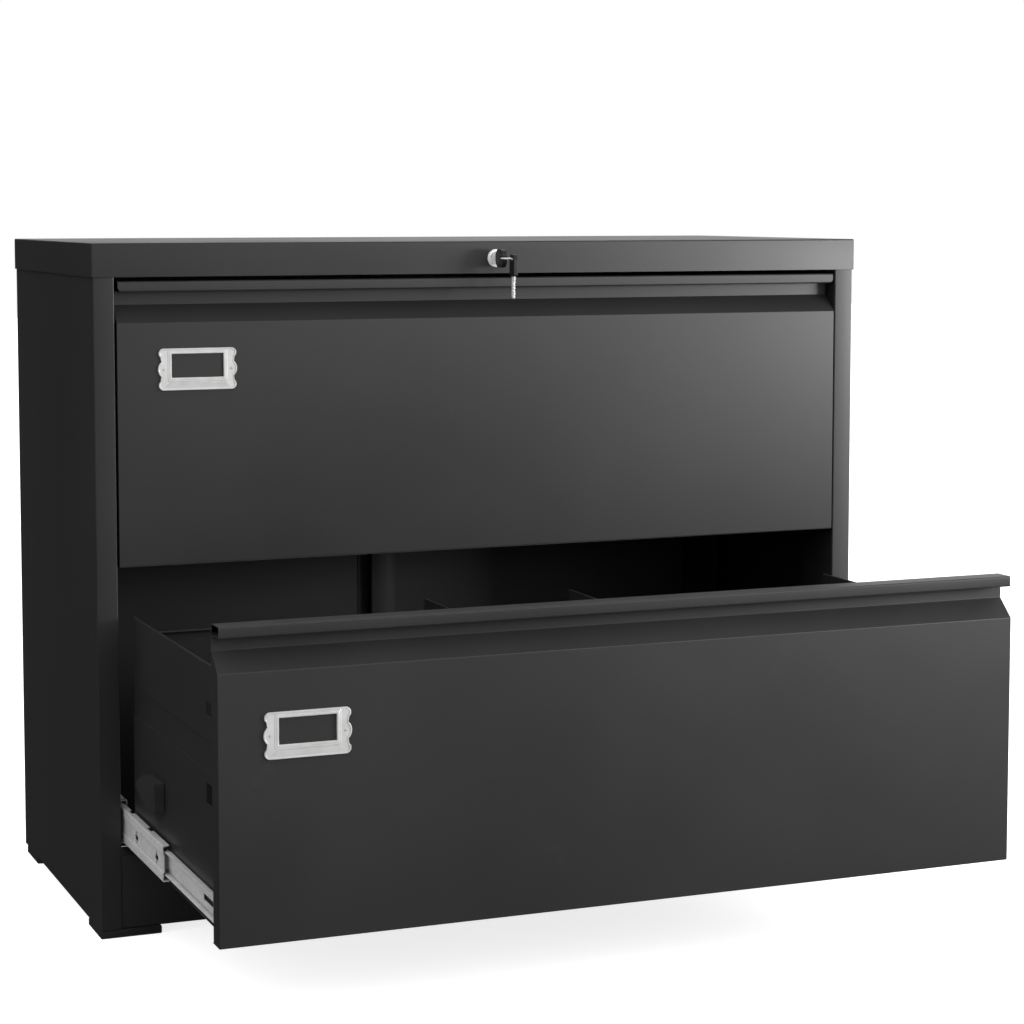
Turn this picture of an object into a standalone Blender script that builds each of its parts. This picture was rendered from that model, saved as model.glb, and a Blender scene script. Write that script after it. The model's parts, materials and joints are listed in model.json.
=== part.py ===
"""Two-drawer lateral filing cabinet in folded sheet steel, shown with its lower drawer fully open.

Units are metres, +Z is up, X runs from left to right and -Y is the front. The origin is on the floor, in the
middle of everything that stands over it with the lower drawer out. Each piece is its own object.
"""

from itertools import pairwise
from math import cos, pi, radians, sin, tan

import bmesh
import bpy
from mathutils import Matrix, Vector

# Carcass
CABINET_WIDTH = 0.900
CABINET_DEPTH = 0.405
CABINET_HEIGHT = 0.734
SHEET = 0.0008  # thickness of every folded sheet
FOLD_RADIUS = 0.0014  # outer radius of a fold
COVER_HEIGHT = 0.0356  # the top cover's fascia and skirts
COVER_OVERHANG = 0.0015  # the cover past the sides, front and back
COVER_LIP = 0.018
STILE_WIDTH = 0.0246  # from the cabinet's outer edge to the drawer opening
FRONT_RETURN_END = 0.070  # how far the front uprights reach back
REAR_UPRIGHT_DEPTH = 0.101
BASE_HEIGHT = 0.009  # the carcass's lower edge above the floor
PLINTH_TOP = 0.0875
PLINTH_RECESS = 0.0015
PLINTH_FLOOR_DEPTH = 0.060
PLINTH_SHELF_DEPTH = 0.040
PLINTH_SHELF_DROP = 0.012
BACK_FLOOR_DEPTH = 0.062
BACK_HEAD_DEPTH = 0.018
STIFFENER_CREST = 0.024
STIFFENER_FOOT = 0.014
STIFFENER_DEPTH = 0.013
STIFFENER_END = 0.025  # kept free at the top and the bottom
FOOT_WIDTH = 0.066
FOOT_LENGTH = 0.060
FOOT_SET_BACK = 0.0125  # the rear feet from the back
FOOT_EDGE = 0.0012

# Drawers
OPENING_GAP = 0.0019  # from the front's end to the stile
DRAWER_GAP = 0.0043  # above, between and below the fronts
FRONT_THICKNESS = 0.024
LIP_HEIGHT = 0.0110
NECK_HEIGHT = 0.0139
SLOPE_HEIGHT = 0.0185
GRIP_DEPTH = 0.020
FRONT_EDGE = 0.0016
SLIDE_SPACE = 0.013  # beside the drawer box, for a slide
BOX_BOTTOM = 0.003  # the drawer box above the front's lower edge
BOX_TOP_DROP = 0.0469  # the box's sides below the front's top
BOX_REAR_CLEARANCE = 0.034  # behind a closed drawer
EXTENSION_HEIGHT = 0.073  # the upper side plate
EXTENSION_OVERLAP = 0.013
JOGGLE_DROP = 0.031  # the joggle's lower end below the upper plate
HEM = 0.0034
SIDE_FLANGE = 0.0125
BACK_DROP = 0.017  # the drawer's back below its sides
BACK_FLANGE = 0.010
SLOT_LENGTH = 0.026
SLOT_REAR = 0.083  # the slots' rear ends behind the front face
UPPER_SLOT = (0.049, 0.013)  # its lower edge below the side's top, and its height
LOWER_SLOT = (0.118, 0.020)  # its lower edge above the front's lower edge, and its height
FILE_BAR_SPACING = 0.325  # from a side, for hanging files
FILE_BAR_THICKNESS = 0.0025
EXTRA_TRAVEL = 0.006  # how far an open box's rear passes the front plane

# Slides
SLIDE_CENTRE = 0.027  # above the front's lower edge
SLIDE_STEEL = 0.0012
OUTER_HEIGHT = 0.047
MIDDLE_HEIGHT = 0.037
INNER_HEIGHT = 0.0245
RACE_LIP = 0.0055
MIDDLE_SET_BACK = 0.004
RETAINER_LENGTH = 0.120
RETAINER_INSET = 0.006
RUNNING_GAP = 0.0004
MIDDLE_SIDE_PLAY = 0.0018  # between the outer and middle members' webs
MIDDLE_TIP_SPACE = 0.0025  # from the drawer box to the middle member's flanges
INNER_DEPTH = 0.0066
CROSS_HOLE = (0.012, 0.0035)
CROSS_HOLE_PLACES = (0.028, 0.112)  # behind the middle member's front end

# Label frames
LABEL_WIDTH = 0.0854
LABEL_HEIGHT = 0.044
LABEL_THICKNESS = 0.0018
LABEL_FROM_END = 0.0854  # the frame's centre from the front's end
LABEL_DROPS = {"upper": 0.0491, "lower": 0.0602}  # the frame's centre below the flat face's top
WINDOW_WIDTH = 0.056
WINDOW_HEIGHT = 0.025
WINDOW_LIFT = 0.0037

# Lock and keys
LOCK_DROP = 0.0188  # the lock's axis below the cabinet's top
ROSETTE_RADIUS = 0.010
ROSETTE_PROUD = 0.0027
HOUSING_RADIUS = 0.0082
HOUSING_LENGTH = 0.024
PLUG_RADIUS = 0.0060
NUT_RADIUS = 0.0125
NUT_THICKNESS = 0.004
KEYWAY = (0.0028, 0.0072)
BLADE_THICKNESS = 0.0020
BLADE_HEIGHT = 0.0064
BLADE_IN_PLUG = 0.014
TEETH_SHARE = 0.75  # of the blade
CUT_DEPTHS = (0.16, 0.36, 0.26)  # of the blade's height, in turn
KEY_HEAD_THICKNESS = 0.0050
KEY_HEAD_LENGTH = 0.0207
KEY_HEAD_HEIGHT = 0.0200
KEY_HEAD_STANDOFF = 0.0026  # from the rosette to the head
KEY_NECK = 0.0124
KEY_SHOULDER = 0.006
KEY_HOLE_RADIUS = 0.0034
KEY_HOLE_INSET = 0.0056
RING_RADIUS = 0.0080
RING_WIRE = 0.0008
SPARE_OFFSET = 0.0070  # the spare key's plane beside the lock's axis
SPARE_WIDTH = 0.013
SPARE_EDGE = 0.0012  # plastic left above the hole
SPARE_CROWN = 0.0072
SPARE_HEAD_LENGTH = 0.0235
CAM_THICKNESS = 0.002
CAM_PIN_REACH = 0.0080
CAM_PIN_RADIUS = 0.0020
CAM_EDGE = 0.0025  # steel left around the cam's pin
CAM_CORNER = 0.003
CAM_CLEARANCE = 0.003  # from the housing's rear to the cam
CAM_TURN = radians(90)
LINK_THICKNESS = 0.002
LINK_DROP = 0.0072  # the link's lower edge below the lock's axis
LINK_RISE = 0.0160
LINK_SLOT_PLAY = 0.0006
LINK_END = 0.003  # the link past the cam's pin, and behind the lock bar
LINK_WEB_GAP = 0.0055  # from the link's long arm to the drawer opening's side
LINK_TIP_GAP = 0.001  # from the link's end to the side wall
PIN_PROUD = 0.001
PIN_SIDES = 16
LOCK_BAR_WIDTH = 0.007
LOCK_BAR_DEPTH = 0.010
LOCK_BAR_BEHIND_WEB = 0.0017
LOCK_BAR_AHEAD_OF_UPRIGHT = 0.063
LOCK_BAR_PIN_RADIUS = 0.0018
LOCK_BAR_PIN_DROP = 0.0022  # below the lock's axis
LUG_HEIGHT = 0.010
LUG_REACH = 0.0108  # past the upright's face
LUG_BELOW_CATCH = 0.003
GUIDE_HEIGHT = 0.016
GUIDE_LIFT = 0.048  # above a lug
GUIDE_PLAY = 0.0004
GUIDE_WALL = 0.0036
CATCH_LIFT = 0.072  # the catch block above the front's lower edge
CATCH_HEIGHT = 0.030
CATCH_LENGTH = 0.046
CATCH_TIP = 0.038
CATCH_PLAY = 0.003

SEAT = 0.0003  # left between pieces that touch
CUT = 0.004  # how far a cutter runs past the wall that it cuts
JOIN = 0.002  # how far a joined shape runs into the piece that it joins
FOLD_STEPS = 3
ROUND_SIDES = 28
WIRE_SIDES = 10

# Derived places, measured from the middle of the cabinet's front edge
HALF_WIDTH = CABINET_WIDTH / 2
BODY_X = HALF_WIDTH - COVER_OVERHANG
OPENING_X = HALF_WIDTH - STILE_WIDTH
FRONT_X = OPENING_X - OPENING_GAP
BOX_X = OPENING_X - SLIDE_SPACE
STILE_Y = COVER_OVERHANG
BODY_BACK_Y = CABINET_DEPTH - COVER_OVERHANG
REAR_UPRIGHT_Y = BODY_BACK_Y - REAR_UPRIGHT_DEPTH
BODY_TOP = CABINET_HEIGHT - SHEET - SEAT
FASCIA_BOTTOM = CABINET_HEIGHT - COVER_HEIGHT
FOOT_HEIGHT = BASE_HEIGHT - SEAT
FRONT_HEIGHT = (FASCIA_BOTTOM - PLINTH_TOP - 3 * DRAWER_GAP) / 2
FRONT_BOTTOM = {
    "lower": PLINTH_TOP + DRAWER_GAP,
    "upper": PLINTH_TOP + 2 * DRAWER_GAP + FRONT_HEIGHT,
}
NECK_TOP = FRONT_HEIGHT - LIP_HEIGHT
NECK_BOTTOM = NECK_TOP - NECK_HEIGHT
FACE_TOP = NECK_BOTTOM - SLOPE_HEIGHT
BOX_FRONT = FRONT_THICKNESS + SEAT
BOX_REAR = CABINET_DEPTH - BOX_REAR_CLEARANCE
BOX_TOP = FRONT_HEIGHT - BOX_TOP_DROP
TRAVEL = BOX_REAR + EXTRA_TRAVEL
LOCK_Z = CABINET_HEIGHT - LOCK_DROP
LABEL_FRONT = -SEAT - LABEL_THICKNESS
CASE_FRONT_Y = (TRAVEL - LABEL_FRONT - CABINET_DEPTH) / 2
INNER_WALL_X = BODY_X - SHEET

# Lock run
CAM_FRONT = HOUSING_LENGTH + CAM_CLEARANCE
CAM_REAR = CAM_FRONT + CAM_THICKNESS
LINK_FRONT = CAM_REAR + 2 * SEAT
LINK_REAR = LINK_FRONT + LINK_THICKNESS
CAM_PIN_OFFSET = CAM_PIN_REACH * sin(CAM_TURN / 2)
LINK_STROKE = 2 * CAM_PIN_OFFSET
LOCK_BAR_X = OPENING_X + LOCK_BAR_BEHIND_WEB
LOCK_BAR_Y = REAR_UPRIGHT_Y - LOCK_BAR_AHEAD_OF_UPRIGHT - LOCK_BAR_DEPTH
LOCK_BAR_REAR = LOCK_BAR_Y + LOCK_BAR_DEPTH
LOCK_BAR_PIN_Z = LOCK_Z - LOCK_BAR_PIN_DROP
LOCK_BAR_PIN_X = LOCK_BAR_X + LOCK_BAR_WIDTH / 2
CATCH_FRONT = LOCK_BAR_REAR + CATCH_PLAY


def material(name, colour, roughness, metallic=0.0):
    made = bpy.data.materials.new(name)
    made.use_nodes = True
    shader = made.node_tree.nodes["Principled BSDF"]
    shader.inputs["Base Color"].default_value = (*colour, 1.0)
    shader.inputs["Roughness"].default_value = roughness
    shader.inputs["Metallic"].default_value = metallic
    return made


def empty(name, place, parent=None):
    made = bpy.data.objects.new(name, None)
    made.location = place
    made.parent = parent
    bpy.context.scene.collection.objects.link(made)
    return made


def solid(name, mesh_builder, surface, parent):
    """An object from a bmesh, with its faces turned outwards."""
    bmesh.ops.recalc_face_normals(mesh_builder, faces=mesh_builder.faces)
    mesh = bpy.data.meshes.new(name)
    mesh_builder.to_mesh(mesh)
    mesh_builder.free()
    made = bpy.data.objects.new(name, mesh)
    made.parent = parent
    if surface:
        mesh.materials.append(surface)
    bpy.context.scene.collection.objects.link(made)
    return made


def fillet(before, corner, after, radius, steps=FOLD_STEPS):
    """The points of an arc that rounds a corner, or the corner itself."""
    towards = (Vector(before) - Vector(corner)).normalized()
    onwards = (Vector(after) - Vector(corner)).normalized()
    half = towards.angle(onwards) / 2
    if radius <= 0 or half > pi / 2 - 0.01:
        return [Vector(corner)]
    centre = Vector(corner) + (towards + onwards).normalized() * radius / sin(half)
    start = Vector(corner) + towards * radius / tan(half) - centre
    end = Vector(corner) + onwards * radius / tan(half) - centre
    return [centre + start.lerp(end, k / steps).normalized() * radius for k in range(steps + 1)]


def rounded(corners):
    """A closed outline from (x, y, radius) corners."""
    outline = []
    for i, (x, y, radius) in enumerate(corners):
        before, after = corners[i - 1][:2], corners[(i + 1) % len(corners)][:2]
        outline += fillet(before, (x, y), after, radius)
    return outline


def bent_sheet(path, thickness=SHEET, radius=FOLD_RADIUS):
    """The closed outline of a folded sheet that lies on the left of its path."""
    path = [Vector(point) for point in path]
    runs = [(b - a).normalized() for a, b in pairwise(path)]
    lefts = [Vector((-run.y, run.x)) for run in runs]
    near = [path[0]]
    far = [path[0] + lefts[0] * thickness]
    for i in range(1, len(path) - 1):
        mitre = (lefts[i - 1] + lefts[i]) * thickness / (1 + lefts[i - 1].dot(lefts[i]))
        corner = path[i] + mitre
        inner = max(radius - thickness, 0)
        turns_left = runs[i - 1].cross(runs[i]) > 0
        near_radius, far_radius = (radius, inner) if turns_left else (inner, radius)
        near += fillet(path[i - 1], path[i], path[i + 1], near_radius)
        far += fillet(corner - runs[i - 1], corner, corner + runs[i], far_radius)
    near.append(path[-1])
    far.append(path[-1] + lefts[-1] * thickness)
    return near + far[::-1]


def sided(path, side):
    """A path of (x, y) points on the left (-1) or right (1) side, ordered to keep its sheet inside."""
    placed = [(side * x, y) for x, y in path]
    return placed if side < 0 else placed[::-1]


def at(axis, along, point):
    """A 3-D point from its place on an axis and its other two coordinates, in X, Y, Z order."""
    a, b = point
    return {"X": (along, a, b), "Y": (a, along, b), "Z": (a, b, along)}[axis]


def prism(outline, axis, start, end):
    made = bmesh.new()
    low = [made.verts.new(at(axis, start, point)) for point in outline]
    high = [made.verts.new(at(axis, end, point)) for point in outline]
    made.faces.new(low[::-1])
    made.faces.new(high)
    for i in range(len(outline)):
        j = (i + 1) % len(outline)
        made.faces.new((low[i], low[j], high[j], high[i]))
    return made


def block(low, high):
    made = bmesh.new()
    bmesh.ops.create_cube(made, size=1.0)
    for vertex in made.verts:
        for k in range(3):
            vertex.co[k] = high[k] if vertex.co[k] > 0 else low[k]
    return made


def turned(profile, centre, axis="Y", sides=ROUND_SIDES):
    """A solid turned about an axis through the centre. Its profile is (radius, along) points: it closes on
    itself away from the axis, or it starts and ends on the axis."""
    made = bmesh.new()
    rings = []
    for radius, along in profile:
        count = 1 if radius == 0 else sides
        turns = [2 * pi * k / sides for k in range(count)]
        offsets = [at(axis, along, (radius * cos(turn), radius * sin(turn))) for turn in turns]
        rings.append([made.verts.new(Vector(centre) + Vector(offset)) for offset in offsets])
    pairs = list(pairwise(rings))
    if profile[0][0] > 0:
        pairs.append((rings[-1], rings[0]))
    for first, second in pairs:
        for k in range(sides):
            j = (k + 1) % sides
            near = [first[k % len(first)], first[j % len(first)]]
            far = [second[j % len(second)], second[k % len(second)]]
            made.faces.new(list(dict.fromkeys(near + far)))
    return made


def pin(centre, radius, start, end, axis="Y", sides=ROUND_SIDES):
    return turned([(0, start), (radius, start), (radius, end), (0, end)], centre, axis, sides)


def shaped(target, operation, *helpers):
    """Cuts or joins helper shapes into the target with Boolean modifiers."""
    for helper in helpers:
        tool = solid(f"{target.name}.{operation.lower()}", helper, None, target.parent)
        tool.hide_render = True
        tool.display_type = "WIRE"
        change = target.modifiers.new(operation.title(), "BOOLEAN")
        change.operation = operation
        change.object = tool
        change.solver = "EXACT"
    return target


def cut(target, *helpers):
    return shaped(target, "DIFFERENCE", *helpers)


def join(target, *helpers):
    return shaped(target, "UNION", *helpers)


def smooth(target):
    target.data.shade_smooth()
    target.data.set_sharp_from_angle(angle=radians(35))
    return target


def top_cover(paint, case):
    cover = solid(
        "top_cover",
        block((-HALF_WIDTH, 0, FASCIA_BOTTOM), (HALF_WIDTH, CABINET_DEPTH, CABINET_HEIGHT)),
        paint,
        case,
    )
    edges = cover.modifiers.new("Folded edges", "BEVEL")
    edges.width = FOLD_RADIUS
    edges.segments = FOLD_STEPS
    edges.limit_method = "ANGLE"
    hollow = block(
        (SHEET - HALF_WIDTH, SHEET, FASCIA_BOTTOM - CUT),
        (HALF_WIDTH - SHEET, CABINET_DEPTH - SHEET, CABINET_HEIGHT - SHEET),
    )
    lock_hole = pin((0, 0, LOCK_Z), HOUSING_RADIUS + SEAT, -CUT, SHEET + CUT)
    lip_x = OPENING_X - SEAT
    lip_z = FASCIA_BOTTOM + FOLD_RADIUS
    lip = block((-lip_x, SHEET / 2, lip_z), (lip_x, COVER_LIP, lip_z + SHEET))
    cut(cover, hollow)
    join(cover, lip)
    cut(cover, lock_hole)


def side_panel(name, side, paint, case):
    path = [
        (OPENING_X, FRONT_RETURN_END),
        (OPENING_X, STILE_Y),
        (BODY_X, STILE_Y),
        (BODY_X, BODY_BACK_Y),
        (OPENING_X, BODY_BACK_Y),
        (OPENING_X, REAR_UPRIGHT_Y),
    ]
    outline = bent_sheet(sided(path[::-1], side))
    solid(name, prism(outline, "Z", BASE_HEIGHT, BODY_TOP), paint, case)


def plinth_rail(paint, case):
    front = STILE_Y + PLINTH_RECESS
    path = [
        (front + PLINTH_SHELF_DEPTH, PLINTH_TOP - PLINTH_SHELF_DROP),
        (front + PLINTH_SHELF_DEPTH, PLINTH_TOP),
        (front, PLINTH_TOP),
        (front, BASE_HEIGHT),
        (front + PLINTH_FLOOR_DEPTH, BASE_HEIGHT),
    ]
    half = OPENING_X - SEAT
    solid("plinth_rail", prism(bent_sheet(path), "X", -half, half), paint, case)


def back_panel(paint, case):
    path = [
        (BODY_BACK_Y - BACK_FLOOR_DEPTH, BASE_HEIGHT),
        (BODY_BACK_Y, BASE_HEIGHT),
        (BODY_BACK_Y, BODY_TOP),
        (BODY_BACK_Y - BACK_HEAD_DEPTH, BODY_TOP),
    ]
    half = OPENING_X - SEAT
    solid("back_panel", prism(bent_sheet(path), "X", -half, half), paint, case)


def back_stiffener(paint, case):
    wall = BODY_BACK_Y - SHEET - SEAT
    crest = STIFFENER_CREST / 2
    foot = crest + STIFFENER_FOOT
    path = [
        (foot, wall),
        (crest, wall),
        (crest, wall - STIFFENER_DEPTH),
        (-crest, wall - STIFFENER_DEPTH),
        (-crest, wall),
        (-foot, wall),
    ]
    outline = bent_sheet(path[::-1], -SHEET, radius=0)
    bottom, top = BASE_HEIGHT + STIFFENER_END, BODY_TOP - STIFFENER_END
    solid("back_stiffener", prism(outline, "Z", bottom, top), paint, case)


def feet(plastic, case):
    rear = CABINET_DEPTH - FOOT_SET_BACK - FOOT_LENGTH
    for row, y in (("front", STILE_Y), ("rear", rear)):
        for name, side in (("left", -1), ("right", 1)):
            xs = sorted((side * BODY_X, side * (BODY_X - FOOT_WIDTH)))
            foot = solid(
                f"foot_{row}_{name}",
                block((xs[0], y, 0), (xs[1], y + FOOT_LENGTH, FOOT_HEIGHT)),
                plastic,
                case,
            )
            edges = foot.modifiers.new("Moulded edges", "BEVEL")
            edges.width = FOOT_EDGE
            edges.segments = 2


def slide_channel(side, web, tip, height, lip=0.0):
    """The section of a slide member: a web at one X, flanges to another, and lips that turn in."""
    half = height / 2
    path = [(tip, half), (web, half), (web, -half), (tip, -half)]
    if lip:
        path = [(tip, half - lip), *path, (tip, lip - half)]
    if web < tip:
        path = path[::-1]
    return bent_sheet(sided(path, side), SLIDE_STEEL)


def raised(outline, lift):
    return [(x, z + lift) for x, z in outline]


def outer_slide(name, side, drawer, steel, case):
    outline = slide_channel(side, OPENING_X - SEAT, BOX_X + 2 * SEAT, OUTER_HEIGHT, RACE_LIP)
    centre = FRONT_BOTTOM[drawer] + SLIDE_CENTRE
    solid(name, prism(raised(outline, centre), "Y", BOX_FRONT + SEAT, BOX_REAR), steel, case)


def retainers(side, web, start, first, last):
    """Two strips of caged balls, above and below the channel's centre, between two heights from it."""
    xs = sorted((side * (web - 2.5 * SLIDE_STEEL), side * (web - 4.5 * SLIDE_STEEL)))
    strips = []
    for direction in (1, -1):
        zs = sorted((SLIDE_CENTRE + direction * first, SLIDE_CENTRE + direction * last))
        strips.append(block((xs[0], start, zs[0]), (xs[1], start + RETAINER_LENGTH, zs[1])))
    return strips


def middle_slide(name, side, steel, runners):
    web = OPENING_X - SEAT - SLIDE_STEEL - MIDDLE_SIDE_PLAY
    tip = BOX_X + MIDDLE_TIP_SPACE
    front, rear = BOX_FRONT + MIDDLE_SET_BACK, BOX_REAR - MIDDLE_SET_BACK
    outline = raised(slide_channel(side, web, tip, MIDDLE_HEIGHT), SLIDE_CENTRE)
    member = solid(name, prism(outline, "Y", front, rear), steel, runners)
    flange = (MIDDLE_HEIGHT - SLIDE_STEEL) / 2
    outer_race = OUTER_HEIGHT / 2 - SLIDE_STEEL - RUNNING_GAP
    inner_race = INNER_HEIGHT / 2 + RUNNING_GAP
    outer_start = rear - RETAINER_INSET - RETAINER_LENGTH
    join(member, *retainers(side, web, outer_start, flange, outer_race))
    join(member, *retainers(side, web, front + RETAINER_INSET, inner_race, flange))
    for place in CROSS_HOLE_PLACES:
        for length, height in (CROSS_HOLE, CROSS_HOLE[::-1]):
            y = front + place
            xs = sorted((side * (web + CUT), side * (web - 1.5 * SLIDE_STEEL)))
            cut(member, block((xs[0], y - height / 2, SLIDE_CENTRE - length / 2),
                              (xs[1], y + height / 2, SLIDE_CENTRE + length / 2)))


def inner_slide(name, side, steel, drawer_frame):
    web = BOX_X + SEAT
    outline = raised(slide_channel(side, web, web + INNER_DEPTH, INNER_HEIGHT), SLIDE_CENTRE)
    solid(name, prism(outline, "Y", BOX_FRONT + SEAT, BOX_REAR), steel, drawer_frame)


def front_outline(inset=0.0):
    """The front's section: a flat face, the slope and neck of the finger grip, and the lip above them."""
    corners = [
        (FRONT_THICKNESS, 0, 0),
        (0, 0, FRONT_EDGE),
        (0, FACE_TOP, FRONT_EDGE),
        (GRIP_DEPTH, NECK_BOTTOM, 0),
        (GRIP_DEPTH, NECK_TOP, 0),
        (0, NECK_TOP, FRONT_EDGE / 2),
        (0, FRONT_HEIGHT, FRONT_EDGE),
        (FRONT_THICKNESS, FRONT_HEIGHT, 0),
    ]
    if not inset:
        return rounded(corners)
    points = [Vector(corner[:2]) for corner in corners]
    shrunk = []
    for i, point in enumerate(points):
        before = (point - points[i - 1]).normalized()
        after = (points[(i + 1) % len(points)] - point).normalized()
        left, next_left = Vector((-before.y, before.x)), Vector((-after.y, after.x))
        shift = -(left + next_left) * inset / (1 + left.dot(next_left))
        shrunk.append((*(point + shift), max(corners[i][2] - inset, 0)))
    rear = FRONT_THICKNESS + CUT
    shrunk[0] = (rear, *shrunk[0][1:])
    shrunk[-1] = (rear, *shrunk[-1][1:])
    return rounded(shrunk)


def drawer_front(name, paint, frame):
    skin = solid(f"{name}_front_skin", prism(front_outline(), "X", -FRONT_X, FRONT_X), paint, frame)
    edges = skin.modifiers.new("Folded ends", "BEVEL")
    edges.width = FRONT_EDGE / 2
    edges.segments = 2
    edges.limit_method = "ANGLE"
    edges.angle_limit = radians(50)
    hollow_x = FRONT_X - SHEET
    cut(skin, prism(front_outline(SHEET), "X", -hollow_x, hollow_x))
    liner_x = hollow_x - SEAT
    edge = SHEET + SEAT
    liner = block(
        (-liner_x, FRONT_THICKNESS - SHEET, edge),
        (liner_x, FRONT_THICKNESS, FRONT_HEIGHT - edge),
    )
    solid(f"{name}_front_liner", liner, paint, frame)


def drawer_side(drawer, name, side, paint, frame):
    seam = BOX_TOP - EXTENSION_HEIGHT
    inner_x = BOX_X - SHEET - SEAT
    joggle = seam - JOGGLE_DROP
    path = [
        (inner_x, seam + EXTENSION_OVERLAP),
        (inner_x, joggle + SHEET + SEAT),
        (BOX_X, joggle),
        (BOX_X, BOX_BOTTOM),
        (BOX_X - SIDE_FLANGE, BOX_BOTTOM),
    ]
    outline = bent_sheet(sided(path, side))
    lower = solid(f"{drawer}_side_{name}", prism(outline, "Y", BOX_FRONT, BOX_REAR), paint, frame)
    hem_path = [
        (BOX_X, seam),
        (BOX_X, BOX_TOP),
        (BOX_X - HEM, BOX_TOP),
        (BOX_X - HEM, BOX_TOP - EXTENSION_OVERLAP),
    ]
    hem = bent_sheet(sided(hem_path[::-1], side))
    upper = solid(f"{drawer}_side_plate_{name}", prism(hem, "Y", BOX_FRONT, BOX_REAR), paint, frame)
    xs = sorted((side * (BOX_X + CUT), side * (BOX_X - SHEET - SEAT / 2)))
    slots = ((upper, BOX_TOP - UPPER_SLOT[0], UPPER_SLOT[1]), (lower, *LOWER_SLOT))
    for plate, bottom, height in slots:
        cut(plate, block((xs[0], SLOT_REAR - SLOT_LENGTH, bottom), (xs[1], SLOT_REAR, bottom + height)))


def drawer_bottom(drawer, paint, frame):
    half = BOX_X - SHEET - SEAT
    low = BOX_BOTTOM + SHEET + SEAT
    floor = block((-half, BOX_FRONT, low), (half, BOX_REAR, low + SHEET))
    solid(f"{drawer}_bottom", floor, paint, frame)


def drawer_back(drawer, paint, frame):
    half = BOX_X - 2 * (SHEET + SEAT)
    floor = BOX_BOTTOM + 2 * (SHEET + SEAT)
    top = BOX_TOP - BACK_DROP
    path = [
        (BOX_REAR - 2 * BACK_FLANGE, floor),
        (BOX_REAR, floor),
        (BOX_REAR, top),
        (BOX_REAR - BACK_FLANGE, top),
    ]
    solid(f"{drawer}_back", prism(bent_sheet(path), "X", -half, half), paint, frame)


def file_bar(drawer, name, side, paint, frame):
    inner, outer = BOX_X - FILE_BAR_SPACING - FILE_BAR_THICKNESS, BOX_X - FILE_BAR_SPACING
    xs = sorted((side * inner, side * outer))
    bar = block((xs[0], BOX_FRONT, BOX_TOP - BACK_DROP + SEAT), (xs[1], BOX_REAR, BOX_TOP))
    solid(f"{drawer}_file_bar_{name}", bar, paint, frame)


def catch_block(drawer, plastic, frame):
    bottom, top = CATCH_LIFT, CATCH_LIFT + CATCH_HEIGHT
    rear = CATCH_FRONT + CATCH_LENGTH
    outline = [
        (CATCH_FRONT, bottom),
        (rear, bottom),
        (rear + CATCH_TIP, (bottom + top) / 2),
        (rear, top),
        (CATCH_FRONT, top),
    ]
    shape = prism(outline, "X", -FRONT_X, -BOX_X - SEAT)
    solid(f"{drawer}_catch_block", shape, plastic, frame)


def label_outline():
    """A plate with straight edges, a round lobe at each corner and a wider bulge amid each end."""
    half_height, half_width = LABEL_HEIGHT / 2, LABEL_WIDTH / 2
    lobe = 0.12 * LABEL_HEIGHT
    bulge = 0.24 * LABEL_HEIGHT
    lobe_x = half_width - 1.15 * lobe
    lobe_z = half_height - lobe
    quarter = []
    for degrees in range(-48, 49, 16):
        turn = radians(degrees)
        quarter.append((half_width - bulge + bulge * cos(turn), bulge * sin(turn)))
    for degrees in range(-50, 91, 20):
        turn = radians(degrees)
        quarter.append((lobe_x + lobe * cos(turn), lobe_z + lobe * sin(turn)))
    middle = [point for point in quarter if abs(point[1]) <= bulge]
    upper = [point for point in quarter if point[1] > bulge]
    right = [(x, -z) for x, z in upper[::-1]] + middle + upper
    return right + [(-x, z) for x, z in right[::-1]]


def label_frame(drawer, metal, frame):
    centre_x = LABEL_FROM_END - FRONT_X
    centre_z = FACE_TOP - LABEL_DROPS[drawer]
    outline = [(centre_x + x, centre_z + z) for x, z in label_outline()]
    plate = solid(f"{drawer}_label_frame", prism(outline, "Y", LABEL_FRONT, -SEAT), metal, frame)
    window_z = centre_z + WINDOW_LIFT
    window = block(
        (centre_x - WINDOW_WIDTH / 2, LABEL_FRONT - CUT, window_z - WINDOW_HEIGHT / 2),
        (centre_x + WINDOW_WIDTH / 2, CUT, window_z + WINDOW_HEIGHT / 2),
    )
    cut(plate, window)


def drawer(name, opened, case, finishes):
    frame = empty(f"{name}_drawer", (0, -opened, FRONT_BOTTOM[name]), case)
    runners = empty(f"{name}_runners", (0, -opened / 2, FRONT_BOTTOM[name]), case)
    drawer_front(name, finishes["paint"], frame)
    drawer_bottom(name, finishes["paint"], frame)
    drawer_back(name, finishes["paint"], frame)
    label_frame(name, finishes["chrome"], frame)
    catch_block(name, finishes["plastic"], frame)
    for end, side in (("left", -1), ("right", 1)):
        drawer_side(name, end, side, finishes["paint"], frame)
        file_bar(name, end, side, finishes["paint"], frame)
        outer_slide(f"{name}_slide_outer_{end}", side, name, finishes["zinc"], case)
        middle_slide(f"{name}_slide_middle_{end}", side, finishes["zinc"], runners)
        inner_slide(f"{name}_slide_inner_{end}", side, finishes["zinc"], frame)


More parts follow.
